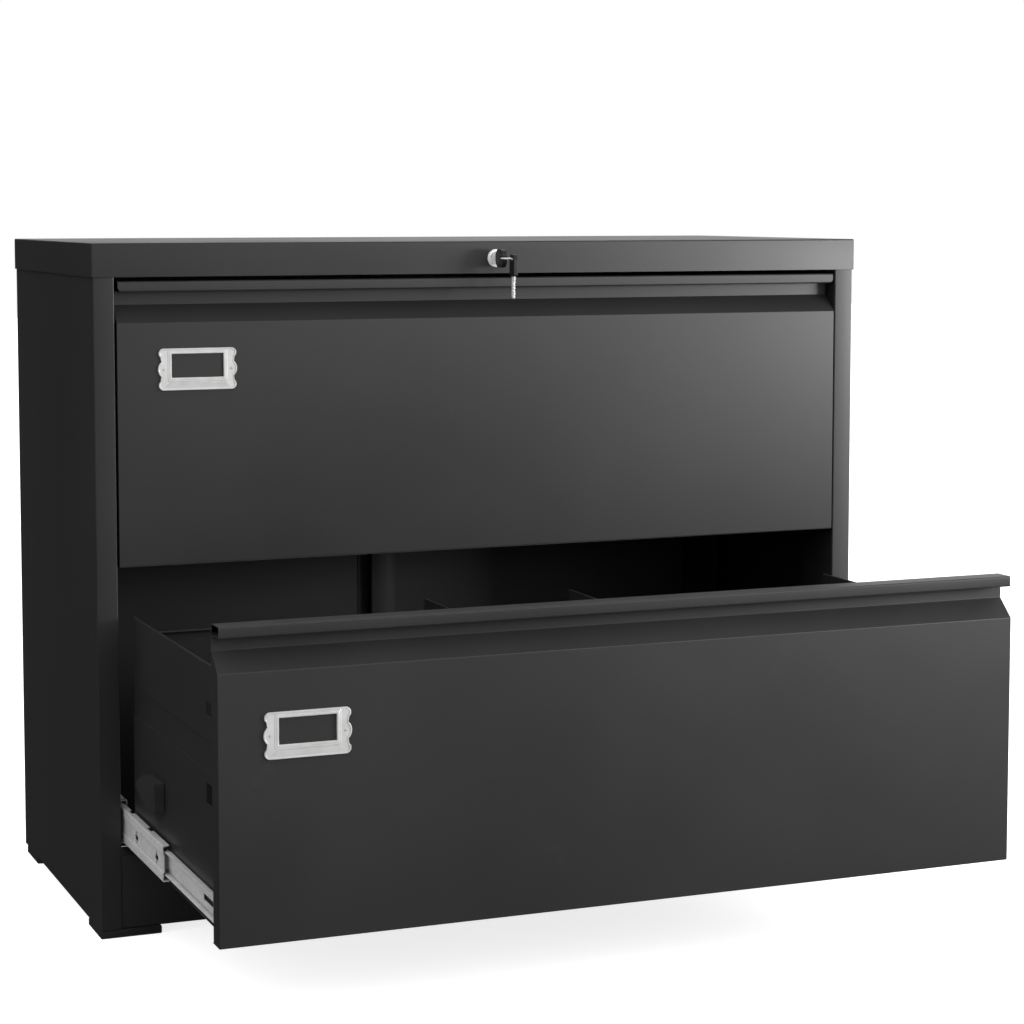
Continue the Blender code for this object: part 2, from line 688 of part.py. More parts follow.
def lock_housing(chrome, zinc, case):
    centre = (0, 0, LOCK_Z)
    bore = PLUG_RADIUS + SEAT
    profile = [
        (bore, -ROSETTE_PROUD),
        (ROSETTE_RADIUS * 0.8, -ROSETTE_PROUD),
        (ROSETTE_RADIUS, -ROSETTE_PROUD / 2),
        (ROSETTE_RADIUS, -SEAT),
        (HOUSING_RADIUS, -SEAT),
        (HOUSING_RADIUS, HOUSING_LENGTH),
        (bore, HOUSING_LENGTH),
    ]
    smooth(solid("lock_housing", turned(profile, centre), chrome, case))
    start = SHEET + SEAT
    nut_profile = [
        (HOUSING_RADIUS + SEAT, start),
        (NUT_RADIUS, start),
        (NUT_RADIUS, start + NUT_THICKNESS),
        (HOUSING_RADIUS + SEAT, start + NUT_THICKNESS),
    ]
    solid("lock_nut", turned(nut_profile, centre, sides=6 * FOLD_STEPS), zinc, case)


def lock_plug(finishes, lock):
    front = -ROSETTE_PROUD + SEAT
    shape = pin((0, 0, 0), PLUG_RADIUS, front, CAM_FRONT - SEAT)
    plug = solid("lock_plug", shape, finishes["chrome"], lock)
    width, height = KEYWAY
    keyway_end = BLADE_IN_PLUG + 2 * SEAT
    keyway = block((-width / 2, front - CUT, -height / 2), (width / 2, keyway_end, height / 2))
    cut(smooth(plug), keyway)

    reach = CAM_PIN_REACH + CAM_PIN_RADIUS + CAM_EDGE
    cam_corners = [
        (-PLUG_RADIUS, -PLUG_RADIUS, CAM_CORNER),
        (PLUG_RADIUS, -PLUG_RADIUS, CAM_CORNER),
        (PLUG_RADIUS, reach, CAM_CORNER),
        (-PLUG_RADIUS, reach, CAM_CORNER),
    ]
    lean = Matrix.Rotation(CAM_TURN / 2, 2)
    outline = [lean @ point for point in rounded(cam_corners)]
    cam = solid("lock_cam", prism(outline, "Y", CAM_FRONT, CAM_REAR), finishes["zinc"], lock)
    pin_centre = (-CAM_PIN_OFFSET, 0, CAM_PIN_OFFSET)
    cam_pin = pin(pin_centre, CAM_PIN_RADIUS, CAM_REAR - SHEET, LINK_REAR + PIN_PROUD, sides=PIN_SIDES)
    join(cam, cam_pin)


def toothed(length, width, start, teeth=5):
    """A key blade's outline along its first coordinate: one straight edge and one cut edge."""
    edge = width / 2
    tip = start + length
    pitch = length * TEETH_SHARE / teeth
    outline = [(start, edge), (start, -edge)]
    for tooth in range(teeth):
        depth = width * CUT_DEPTHS[tooth % len(CUT_DEPTHS)]
        place = start + (tooth + 1) * pitch
        outline += [(place, -edge), (place + pitch / 3, depth - edge), (place + 2 * pitch / 3, depth - edge)]
    return outline + [(tip - edge, -edge), (tip, 0), (tip - edge, edge)]


def key_in_lock(finishes, lock):
    head_rear = -ROSETTE_PROUD - KEY_HEAD_STANDOFF
    head_front = head_rear - KEY_HEAD_LENGTH
    half = KEY_HEAD_HEIGHT / 2
    corners = [
        (head_rear, -KEY_NECK / 2, 0.002),
        (head_rear, KEY_NECK / 2, 0.002),
        (head_rear - KEY_SHOULDER, half, 0.004),
        (head_front, half, 0.008),
        (head_front, -half, 0.008),
        (head_rear - KEY_SHOULDER, -half, 0.004),
    ]
    thickness = KEY_HEAD_THICKNESS / 2
    shape = prism(rounded(corners), "X", -thickness, thickness)
    head = solid("key_head", shape, finishes["plastic"], lock)
    hole_y = head_front + KEY_HOLE_INSET
    cut(head, pin((0, hole_y, 0), KEY_HOLE_RADIUS, -CUT, CUT, "X", 16))
    blade_start = head_rear + SEAT
    blade = toothed(BLADE_IN_PLUG - blade_start, BLADE_HEIGHT, blade_start)
    half_blade = BLADE_THICKNESS / 2
    solid("key_blade", prism(blade, "X", -half_blade, half_blade), finishes["chrome"], lock)
    return hole_y


def spare_key(hole_y, finishes, lock):
    """The ring lies level through the first key's hole, and the spare key hangs from its far side."""
    ring_x = SPARE_OFFSET / 2
    half_chord = (RING_RADIUS**2 - ring_x**2) ** 0.5
    ring_frame = empty("key_ring_pivot", (0, hole_y, 0), lock)
    turns = [2 * pi * k / WIRE_SIDES for k in range(WIRE_SIDES)]
    wire = [(RING_RADIUS + RING_WIRE * cos(turn), RING_WIRE * sin(turn)) for turn in turns]
    ring = turned(wire, (ring_x, -half_chord, 0), "Z")
    smooth(solid("key_ring", ring, finishes["chrome"], ring_frame))

    hang = empty("spare_key_pivot", (SPARE_OFFSET, -2 * half_chord, 0), ring_frame)
    half, top = SPARE_WIDTH / 2, KEY_HOLE_RADIUS + SPARE_EDGE
    bottom = top - SPARE_HEAD_LENGTH
    corners = [
        (-SPARE_CROWN / 2, top, 0.003),
        (-half, top - KEY_SHOULDER, 0.003),
        (-half, bottom, 0.0015),
        (half, bottom, 0.0015),
        (half, top - KEY_SHOULDER, 0.003),
        (SPARE_CROWN / 2, top, 0.003),
    ]
    thickness = KEY_HEAD_THICKNESS / 2
    shape = prism(rounded(corners), "X", -thickness, thickness)
    head = solid("spare_key_head", shape, finishes["plastic"], hang)
    cut(head, pin((0, 0, 0), KEY_HOLE_RADIUS, -CUT, CUT, "X", 16))


def lock_link(zinc, case):
    """One folded strip from the cam, left behind the fascia and back to the lock bar."""
    tab = LINK_END
    turn_x = OPENING_X - LINK_WEB_GAP
    end_y = LOCK_BAR_REAR + LINK_END
    path = [
        (tab, LINK_FRONT),
        (-turn_x, LINK_FRONT),
        (-turn_x, end_y),
        (LINK_TIP_GAP - INNER_WALL_X, end_y),
    ]
    outline = bent_sheet(path, -LINK_THICKNESS)
    low, high = LOCK_Z - LINK_DROP, LOCK_Z + LINK_RISE
    link = solid("lock_link", prism(outline, "Z", low, high), zinc, case)
    half = CAM_PIN_RADIUS + LINK_SLOT_PLAY
    cam_slot = block(
        (-CAM_PIN_OFFSET - half, LINK_FRONT - CUT, LOCK_Z + CAM_PIN_OFFSET - half),
        (-CAM_PIN_OFFSET + half, LINK_REAR + CUT, LOCK_Z + CAM_PIN_REACH + half),
    )
    cut(link, cam_slot)
    half = LOCK_BAR_PIN_RADIUS + LINK_SLOT_PLAY
    run = Vector((-1, 1)).normalized() * half
    across = Vector((1, 1)).normalized() * half
    low_end = Vector((-LOCK_BAR_PIN_X, LOCK_BAR_PIN_Z)) - run
    high_end = Vector((-LOCK_BAR_PIN_X - LINK_STROKE, LOCK_BAR_PIN_Z + LINK_STROKE)) + run
    slot = [low_end - across, low_end + across, high_end + across, high_end - across]
    cut(link, prism(slot, "Y", end_y - CUT, end_y + LINK_THICKNESS + CUT))


def lock_bar(finishes, case):
    left, right = -LOCK_BAR_X - LOCK_BAR_WIDTH, -LOCK_BAR_X
    lug_tops = {name: FRONT_BOTTOM[name] + CATCH_LIFT - LUG_BELOW_CATCH for name in FRONT_BOTTOM}
    bottom = lug_tops["lower"] - 2 * LUG_HEIGHT
    top = LOCK_BAR_PIN_Z + 2 * LOCK_BAR_PIN_RADIUS
    shape = block((left, LOCK_BAR_Y, bottom), (right, LOCK_BAR_REAR, top))
    bar = solid("lock_bar", shape, finishes["zinc"], case)
    for lug_top in lug_tops.values():
        lug = block(
            (right - JOIN, LOCK_BAR_Y + JOIN / 2, lug_top - LUG_HEIGHT),
            (LUG_REACH - OPENING_X, LOCK_BAR_REAR - JOIN / 2, lug_top),
        )
        join(bar, lug)
    bar_pin = pin(
        (-LOCK_BAR_PIN_X, 0, LOCK_BAR_PIN_Z),
        LOCK_BAR_PIN_RADIUS,
        LOCK_BAR_REAR - JOIN,
        LOCK_BAR_REAR + LINK_END + LINK_THICKNESS + PIN_PROUD,
        sides=PIN_SIDES,
    )
    join(bar, bar_pin)
    for name, lug_top in lug_tops.items():
        z = lug_top + GUIDE_LIFT
        guide = solid(
            f"lock_bar_guide_{name}",
            block(
                (SEAT - INNER_WALL_X, LOCK_BAR_Y - GUIDE_WALL, z),
                (SEAT - OPENING_X, LOCK_BAR_REAR + GUIDE_WALL, z + GUIDE_HEIGHT),
            ),
            finishes["plastic"],
            case,
        )
        passage = block(
            (left - GUIDE_PLAY, LOCK_BAR_Y - GUIDE_PLAY, z - CUT),
            (right + GUIDE_PLAY, LOCK_BAR_REAR + GUIDE_PLAY, z + GUIDE_HEIGHT + CUT),
        )
        cut(guide, passage)


def main():
    for thing in list(bpy.data.objects):
        bpy.data.objects.remove(thing, do_unlink=True)
    finishes = {
        "paint": material("Charcoal powder coat", (0.030, 0.030, 0.031), 0.45),
        "zinc": material("Zinc-plated steel", (0.62, 0.63, 0.64), 0.32, 1.0),
        "chrome": material("Bright plating", (0.80, 0.80, 0.80), 0.15, 1.0),
        "plastic": material("Black plastic", (0.016, 0.015, 0.014), 0.5),
    }
    case = empty("case", (0, CASE_FRONT_Y, 0))
    top_cover(finishes["paint"], case)
    side_panel("left_side_panel", -1, finishes["paint"], case)
    side_panel("right_side_panel", 1, finishes["paint"], case)
    plinth_rail(finishes["paint"], case)
    back_panel(finishes["paint"], case)
    back_stiffener(finishes["paint"], case)
    feet(finishes["plastic"], case)
    drawer("upper", 0, case, finishes)
    drawer("lower", TRAVEL, case, finishes)
    lock_housing(finishes["chrome"], finishes["zinc"], case)
    lock = empty("lock_axis", (0, 0, LOCK_Z), case)
    lock_plug(finishes, lock)
    hole_y = key_in_lock(finishes, lock)
    spare_key(hole_y, finishes, lock)
    lock_link(finishes["zinc"], case)
    lock_bar(finishes, case)


main()
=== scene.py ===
"""Looks of a two-drawer lateral filing cabinet in folded, powder-coated sheet steel.

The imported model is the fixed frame. The folded sheets, the slides, the label frames, the lock and the keys
are made here in finer detail than the plain solids they stand for. Every surface has a procedural finish.
Units are metres, +Z is up and -Y is the front.
"""

import json
from itertools import pairwise
from math import cos, pi, radians, sin, tan

import bmesh
import bpy
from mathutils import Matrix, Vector


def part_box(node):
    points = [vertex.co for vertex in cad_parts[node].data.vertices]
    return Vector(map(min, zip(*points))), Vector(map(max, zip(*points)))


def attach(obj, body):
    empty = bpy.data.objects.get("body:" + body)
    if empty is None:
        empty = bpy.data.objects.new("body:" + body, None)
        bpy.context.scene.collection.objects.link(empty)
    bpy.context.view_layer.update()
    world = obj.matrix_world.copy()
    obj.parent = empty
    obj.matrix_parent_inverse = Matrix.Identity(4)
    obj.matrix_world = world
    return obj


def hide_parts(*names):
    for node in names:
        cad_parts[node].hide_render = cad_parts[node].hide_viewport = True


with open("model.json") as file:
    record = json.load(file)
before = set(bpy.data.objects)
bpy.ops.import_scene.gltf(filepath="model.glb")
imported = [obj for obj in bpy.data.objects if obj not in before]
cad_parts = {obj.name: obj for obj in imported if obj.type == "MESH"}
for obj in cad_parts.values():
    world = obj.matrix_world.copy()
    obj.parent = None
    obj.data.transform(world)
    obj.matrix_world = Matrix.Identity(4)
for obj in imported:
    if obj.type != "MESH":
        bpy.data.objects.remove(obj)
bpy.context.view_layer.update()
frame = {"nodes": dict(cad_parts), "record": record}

DRAWERS = ("upper", "lower")
HANDS = ("left", "right")

# Folded sheets
SHEET = 0.0008
FOLD_RADIUS = 0.0016
FOLD_STEPS = 6
EDGE_ROUND = 0.00025  # the rounding of a cut edge under its paint
SEAM = 0.0003  # between sheets that touch
SHARP = 35  # degrees between faces, above which an edge is sharp
ROUNDED_ABOVE = 40  # and above which it is rounded
LEAST_BEND = 0.0002  # the inner radius of a fold is never less

# Drawer fronts, measured from the top of the front
LIP_HEIGHT = 0.0110
NECK_HEIGHT = 0.0139
SLOPE_HEIGHT = 0.0185
GRIP_DEPTH = 0.020
LIP_INSET = 0.0013  # the lip is this much shorter than the face at each end
LIP_RETURN = 0.0085  # the lip's hem behind its lower fold
LIP_CORNER = 0.0055  # the rounded lower corners of the upper drawer's lip
CORNER_STEPS = 8
CAP_RECESS = 0.0003  # the welded end caps behind the front's ends
CAP_CORNER = 0.0005

# Carcass folds
COVER_LIP = 0.018  # the depth of the return under the cover's fascia
LOCK_HOLE = 0.0085  # its radius
STILE_RETURN = 0.0685
REAR_UPRIGHT = 0.101
PLINTH_SHELF = 0.040
PLINTH_DROP = 0.012
BACK_HEAD = 0.018

# Drawer sides
JOGGLE_DROP = 0.031  # the joggle's lower end below the upper plate
HEM = 0.0034
HEM_DEPTH = 0.013
SLOT_LENGTH = 0.026
SLOT_REAR = 0.083  # the slots' rear ends behind the front face
UPPER_SLOT = (0.049, 0.013)  # its lower edge below the side's top, and its height
LOWER_SLOT = (0.115, 0.020)  # its lower edge above the side's lower edge, and its height

# Spot welds
WELD_RADIUS = 0.0026
WELD_CREST = 0.8  # where the ring's crest and its dip lie, as shares of its radius
WELD_DIP = 0.55
WELD_DEPTH = 0.00015
WELD_SIDES = 20
WELD_PITCH = 0.070
WELD_INSET = 0.012
WELD_LAP = 0.0015  # how far a welded edge runs into the fold beside it

# Slides
SLIDE_STEEL = 0.0012
SLIDE_FOLD = 0.0016
MIDDLE_HEIGHT = 0.037
RACE_LIP = 0.0055
BEADS = {"outer": 0.0008, "middle": 0.0010, "inner": 0.0008}  # how deep each web's middle is pressed
BEAD_SHARE = 0.26  # the web beside the bead, as a share of its height
CROSS_HOLES = (0.028, 0.112)  # behind the middle member's front end
CROSS_HOLE = (0.013, 0.0052)  # the length and width of its arms
FLANGE_SLOTS = (0.062, 0.142)  # behind the middle member's front end
FLANGE_SLOT = (0.0036, 0.016)  # its width and its length
RELEASE_SLOT = (0.030, 0.034, 0.006)  # its place behind the inner member's front end, length and height
OUTER_BALL = 0.00175
INNER_BALL = 0.0022
BALL_PITCH = 0.0095
CAGE_LENGTH = 0.108
CAGE_INSET = 0.006
CAGE_WALL = 0.0007
CAGE_PLACE = 0.72  # the walls from the balls' middle, and half their height, as shares of the balls' radius
CAGE_HEIGHT = 0.55
BALL_STEPS = 12
BALL_SIDES = 20

# Label frames
LABEL_LIP = 0.0006  # how deep the frame's field lies below its rim and its window's border
LABEL_LOBE = 0.24  # the corner lobes and the end bulges, as shares of the half height
LABEL_BULGE = 0.48
LOBE_PLACE = 1.15  # the lobes' centres from the ends, in lobe radii
LOBE_ARC = range(-50, 91, 7)  # degrees
BULGE_ARC = range(-48, 49, 4)
LABEL_RIM = ((0.0, 0.0004), (0.0004, 0.0), (0.0013, 0.0), (0.0018, LABEL_LIP))  # inset, depth
LABEL_WINDOW = (0.056, 0.025, 0.0037)  # width, height and lift above the frame's middle
LABEL_BORDER = (  # distance from the window, depth
    (0.0043, LABEL_LIP), (0.0038, 0.0003), (0.0024, 0.0003), (0.0020, 0.0), (0.0006, 0.0), (0.0, 0.0006)
)
WINDOW_CORNER = 0.0004
LABEL_STRIP = (0.058, 0.071, 0.0047, 0.0032)  # top and bottom widths, height, and lift above the lower edge
STRIP_TOE = 0.00045  # how deep the strip's lower edge lies
STRIP_ROOT = 0.0001  # how far it goes into the field
STRIP_EDGE = 0.0001
RIVET_INSET = 0.0062  # from the frame's ends
RIVET = (  # radius, depth
    (0, 0.0004), (0.0004, 0.0004), (0.0005, 0.0001), (0.0009, 0.0001),
    (0.0013, LABEL_LIP), (0.0013, LABEL_LIP + 0.0001), (0, LABEL_LIP + 0.0001),
)

# Lock
PLUG_RADIUS = 0.0060
HOUSING_RADIUS = 0.0082
HOUSING_RIM = (  # out from the bore, depth
    (0.0, 0.0010), (0.0003, 0.0003), (0.0009, 0.0), (0.0015, 0.0002), (0.0017, 0.0009)
)
ROSETTE_EDGE = ((0.0010, 0.0011), (0.0003, 0.0015), (0.0, 0.0022))  # in from its edge, depth
PLUG_RIM = ((0.0014, 0.0004), (0.0010, 0.0), (0.0006, 0.0001), (0.0, 0.0007))  # in from its edge, depth
KEYWAY = (0.0028, 0.0072)
KEYWAY_DEPTH = 0.017
PLUG_EDGE = 0.0001

# Keys
KEY_HOLE = 0.0034
KEY_HOLE_INSET = 0.0056
KEY_ROUNDS = (0.0072, 0.0050, 0.0020, 0.0008)  # the radii of the bow's corners, from front to rear
KEY_NARROWING = (0.0050, 0.0012)  # where the bow starts and stops narrowing, from its rear end
KEY_NECK = 0.0062  # half the height of its rear end
KEY_EDGE = 0.0007
SPARE_FOOT_ROUND = 0.0015
SPARE_ROUND = 0.0030
SPARE_SHOULDER = (0.0036, 0.0060)  # half the width of the spare bow's top, and how far the shoulders drop
SPARE_BLADE = (0.0020, 0.0066, 0.0245)
SPARE_CUTS = (0.0009, 0.0021, 0.0014, 0.0024, 0.0011, 0.0018)  # the depths of its bitting
SPARE_BITTING = (0.16, 0.78)  # the bitting's start and length, as shares of the blade
SPARE_FLAT = (0.35, 0.65)  # each cut's flat, as shares of its pitch
SPARE_TIP = 0.0014
SPARE_GROOVE = (0.0006, 0.0018, 0.00045)  # its edges behind the blade's middle, and its depth
SPARE_EDGE = 0.00015
RING_RADIUS = 0.0080
RING_WIRE = 0.00045
RING_RISE = 3.4  # from one end of the wire to the other, in wire radii
RING_TURNS = 2
RING_STEPS = 160
WIRE_SIDES = 12

# Edge rounding of the pieces that keep their plain shape
SOFTENED = {
    **{f"{drawer}_{part}": 0.0002 for drawer in DRAWERS for part in ("front_liner", "bottom", "back")},
    **{f"{drawer}_file_bar_{hand}": 0.0004 for drawer in DRAWERS for hand in HANDS},
    **{f"{drawer}_catch_block": 0.0007 for drawer in DRAWERS},
    **{f"foot_{end}_{hand}": 0.0009 for end in ("front", "rear") for hand in HANDS},
    **{f"lock_bar_guide_{place}": 0.0006 for place in ("lower", "upper")},
    "back_stiffener": 0.0003,
    "lock_nut": 0.0004,
    "lock_cam": 0.0003,
    "lock_link": 0.0003,
    "lock_bar": 0.0004,
    "key_blade": 0.0001,
}

# Camera and stage
CAMERA_PLACE = (-1.02466, -2.57636, 0.77102)
CAMERA_YAW = 0.3867
CAMERA_PITCH = -0.0827
CAMERA_SENSOR = 36.0
CAMERA_LENS = 88.17
CAMERA_SHIFT_Y = -0.0947
KEY_LIGHT = ((1.75, -1.30, 0.72), (0.2, 0, 0.66), (0.8, 0.45), 35)  # place, target, size and power
FILL_LIGHT = ((1.0, -2.6, 1.4), (0.1, 0, 0.6), (2.2, 1.4), 16)
STAGE_SIZE = 30.0
FLOOR_GLOW = 0.80  # only as seen
FLOOR_TONES = (0.56, 0.60)
ROOM_WHITE = 1.0  # the room as seen
ROOM_SIDES = 0.50  # the light on matt surfaces from the sides
ROOM_CEILING = 2.2  # and from above
CEILING_HEIGHT = 0.9  # the slope at which the ceiling's light is full
ROOM_DARK = 0.02  # what glossy surfaces mirror on the room's left
ROOM_BRIGHT = 0.22  # on its right
BRIGHT_X = (0.10, 0.80)  # the directions over which that fades in
BRIGHT_Z = (-0.15, 0.25)
ROOM_BEHIND = 2.4  # and behind the cabinet
BEHIND_X = (-0.05, 0.20)
BEHIND_Y = (0.0, 0.4)


# --- Mesh tools ------------------------------------------------------------------------------------------


def piece(name, shape, slot, body, replaces=(), smooth=SHARP):
    """Turns a bmesh into a piece with a slot's finish, which rides on a body and replaces nodes."""
    bmesh.ops.recalc_face_normals(shape, faces=shape.faces)
    mesh = bpy.data.meshes.new(name)
    shape.to_mesh(mesh)
    shape.free()
    made = bpy.data.objects.new(name, mesh)
    bpy.context.scene.collection.objects.link(made)
    mesh.materials.append(FINISHES[slot])
    mesh.shade_smooth()
    mesh.set_sharp_from_angle(angle=radians(smooth))
    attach(made, body)
    if replaces:
        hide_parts(*replaces)
    return made


def bevelled(thing, width, segments=2):
    """Rounds the sharp edges of a piece."""
    change = thing.modifiers.new("Soft edges", "BEVEL")
    change.width = width
    change.segments = segments
    change.limit_method = "ANGLE"
    change.angle_limit = radians(ROUNDED_ABOVE)
    change.harden_normals = True
    return thing


def fillet(before, corner, after, radius):
    """The points of an arc that rounds a corner, or the corner itself."""
    towards = (Vector(before) - Vector(corner)).normalized()
    onwards = (Vector(after) - Vector(corner)).normalized()
    half = towards.angle(onwards) / 2
    if radius <= 0 or half > pi / 2 - 0.01:
        return [Vector(corner)]
    centre = Vector(corner) + (towards + onwards).normalized() * radius / sin(half)
    start = Vector(corner) + towards * radius / tan(half) - centre
    end = Vector(corner) + onwards * radius / tan(half) - centre
    arc = [start.lerp(end, k / FOLD_STEPS).normalized() for k in range(FOLD_STEPS + 1)]
    return [centre + way * radius for way in arc]


def rounded(corners):
    """A closed outline from (x, y, radius) corners."""
    outline = []
    for i, (x, y, radius) in enumerate(corners):
        before, after = corners[i - 1][:2], corners[(i + 1) % len(corners)][:2]
        outline += fillet(before, (x, y), after, radius)
    return outline


def bent_sheet(path, thickness=SHEET, radius=FOLD_RADIUS):
    """The closed outline of a folded sheet that lies on the left of its path."""
    path = [Vector(point) for point in path]
    runs = [(b - a).normalized() for a, b in pairwise(path)]
    lefts = [Vector((-run.y, run.x)) for run in runs]
    near = [path[0]]
    far = [path[0] + lefts[0] * thickness]
    for i in range(1, len(path) - 1):
        mitre = (lefts[i - 1] + lefts[i]) * thickness / (1 + lefts[i - 1].dot(lefts[i]))
        corner = path[i] + mitre
        inner = max(radius - abs(thickness), LEAST_BEND)
        turns_left = (runs[i - 1].cross(runs[i]) > 0) == (thickness > 0)
        near_radius, far_radius = (radius, inner) if turns_left else (inner, radius)
        near += fillet(path[i - 1], path[i], path[i + 1], near_radius)
        far += fillet(corner - runs[i - 1], corner, corner + runs[i], far_radius)
    near.append(path[-1])
    far.append(path[-1] + lefts[-1] * thickness)
    return near + far[::-1]


def at(axis, along, point):
    """A 3-D point from its place on an axis and its other two coordinates, in X, Y, Z order."""
    a, b = point
    return {"X": (along, a, b), "Y": (a, along, b), "Z": (a, b, along)}[axis]


def prism(outline, axis, start, end, into=None):
    """A solid that carries an outline along an axis."""
    made = into or bmesh.new()
    low = [made.verts.new(at(axis, start, point)) for point in outline]
    high = [made.verts.new(at(axis, end, point)) for point in outline]
    made.faces.new(low[::-1])
    made.faces.new(high)
    for i in range(len(outline)):
        j = (i + 1) % len(outline)
        made.faces.new((low[i], low[j], high[j], high[i]))
    return made


def turned(profile, centre, axis="Y", sides=48, into=None):
    """A solid turned about an axis. Its (radius, along) profile starts and ends on the axis or closes."""
    made = into or bmesh.new()
    rings = []
    for radius, along in profile:
        turns = [2 * pi * k / sides for k in range(1 if radius == 0 else sides)]
        offsets = [at(axis, along, (radius * cos(turn), radius * sin(turn))) for turn in turns]
        rings.append([made.verts.new(Vector(centre) + Vector(offset)) for offset in offsets])
    pairs = list(pairwise(rings))
    if profile[0][0] > 0:
        pairs.append((rings[-1], rings[0]))
    for first, second in pairs:
        for k in range(sides):
            j = (k + 1) % sides
            near = [first[k % len(first)], first[j % len(first)]]
            far = [second[j % len(second)], second[k % len(second)]]
            made.faces.new(list(dict.fromkeys(near + far)))
    return made


# --- Shader tools ----------------------------------------------------------------------------------------


class Graph:
    """Adds nodes to a tree and links them by socket name."""

    def __init__(self, tree):
        self.tree = tree

    def add(self, kind, inputs=None, **settings):
        node = self.tree.nodes.new(kind)
        for name, value in settings.items():
            setattr(node, name, value)
        for name, value in (inputs or {}).items():
            socket = node.inputs[name]
            if isinstance(value, bpy.types.NodeSocket):
                self.tree.links.new(value, socket)
            else:
                socket.default_value = value
        return node

    def maths(self, operation, first, second=0.0, clamp=False):
        made = self.add("ShaderNodeMath", {0: first, 1: second}, operation=operation, use_clamp=clamp)
        return made.outputs[0]

    def noise(self, place, scale, detail=2.0, roughness=0.5):
        values = {"Vector": place, "Scale": scale, "Detail": detail, "Roughness": roughness}
        return self.add("ShaderNodeTexNoise", values).outputs["Fac"]

    def remap(self, value, low, high, to_low=0.0, to_high=1.0):
        values = {"Value": value, "From Min": low, "From Max": high, "To Min": to_low, "To Max": to_high}
        return self.add("ShaderNodeMapRange", values, interpolation_type="SMOOTHSTEP").outputs["Result"]

    def mix(self, amount, first, second):
        made = self.add("ShaderNodeMix", {0: amount, 6: first, 7: second}, data_type="RGBA")
        return made.outputs[2]


def effect_group(name, inputs, outputs, build):
    """A shader node group. Inputs are names with default numbers or vectors, and outputs are names."""
    tree = bpy.data.node_groups.new(name, "ShaderNodeTree")
    for label, default in inputs.items():
        kind = "NodeSocketFloat" if isinstance(default, float) else "NodeSocketVector"
        tree.interface.new_socket(label, in_out="INPUT", socket_type=kind).default_value = default
    for label in outputs:
        tree.interface.new_socket(label, in_out="OUTPUT", socket_type="NodeSocketFloat")
    graph = Graph(tree)
    given = graph.add("NodeGroupInput").outputs
    made = graph.add("NodeGroupOutput")
    place = graph.add("ShaderNodeTexCoord").outputs["Object"]
    for label, value in build(graph, place, given).items():
        tree.links.new(value, made.inputs[label])
    return tree


def rubbed_and_highlit_edges(graph, place, given):
    """Paler edges, partly from rubbing and partly a painted highlight: where a rounded normal leaves the
    true one, broken up by noise.
    """
    bevel = graph.add("ShaderNodeBevel", {"Radius": given["Radius"]}, samples=4).outputs["Normal"]
    true_normal = graph.add("ShaderNodeNewGeometry").outputs["Normal"]
    dot = graph.add("ShaderNodeVectorMath", {0: bevel, 1: true_normal}, operation="DOT_PRODUCT")
    bend = graph.maths("SUBTRACT", 1.0, dot.outputs["Value"], clamp=True)
    patches = graph.remap(graph.noise(place, given["Patch Scale"], 4.0, 0.6), 0.35, 0.7)
    edge = graph.remap(bend, 0.02, 0.30)
    return {"Mask": graph.maths("MULTIPLY", edge, patches)}


def orange_peel(graph, place, given):
    """The fine, soft pebble of baked powder, and its slow drift in sheen."""
    pebble = graph.noise(place, given["Pebble Scale"], 2.0, 0.45)
    grit = graph.noise(place, graph.maths("MULTIPLY", given["Pebble Scale"], 3.1), 1.0, 0.5)
    height = graph.maths("ADD", graph.maths("MULTIPLY", pebble, 0.75), graph.maths("MULTIPLY", grit, 0.25))
    drift = graph.noise(place, given["Drift Scale"], 3.0, 0.55)
    return {"Height": height, "Drift": drift}


def settled_dust(graph, place, given):
    """Fine dust on faces that look up, thicker in soft patches."""
    normal = graph.add("ShaderNodeNewGeometry").outputs["Normal"]
    up = graph.add("ShaderNodeSeparateXYZ", {"Vector": normal}).outputs["Z"]
    patches = graph.remap(graph.noise(place, given["Patch Scale"], 5.0, 0.62), 0.40, 0.78)
    motes = graph.remap(graph.noise(place, given["Mote Scale"], 1.0, 0.5), 0.60, 0.74)
    cover = graph.maths("ADD", graph.maths("MULTIPLY", patches, 0.7), graph.maths("MULTIPLY", motes, 0.3))
    return {"Mask": graph.maths("MULTIPLY", graph.remap(up, 0.6, 1.0), cover)}


def rolled_grain(graph, place, given):
    """Fine streaks that run with the sheet's rolling direction, with a few deeper draw lines."""
    lengthwise = graph.add("ShaderNodeVectorMath", {0: place, 1: given["Stretch"]}, operation="MULTIPLY")
    fine = graph.noise(lengthwise.outputs["Vector"], given["Grain Scale"], 3.0, 0.6)
    coarse = graph.noise(lengthwise.outputs["Vector"], graph.maths("MULTIPLY", given["Grain Scale"], 0.2))
    lines = graph.remap(coarse, 0.58, 0.66)
    return {"Height": graph.maths("SUBTRACT", fine, graph.maths("MULTIPLY", lines, 0.4)), "Lines": lines}


def zinc_bloom(graph, place, given):
    """The cloudy, crystalline tone of zinc plating: small cells over slow stains."""
    cells = graph.add(
        "ShaderNodeTexVoronoi",
        {"Vector": place, "Scale": given["Cell Scale"], "Randomness": 1.0},
        feature="F1",
    ).outputs["Color"]
    tone = graph.add("ShaderNodeSeparateXYZ", {"Vector": cells}).outputs["X"]
    stains = graph.noise(place, graph.maths("MULTIPLY", given["Cell Scale"], 0.12), 5.0, 0.65)
    tone = graph.maths("ADD", graph.maths("MULTIPLY", tone, 0.3), graph.maths("MULTIPLY", stains, 0.7))
    return {"Tone": tone}


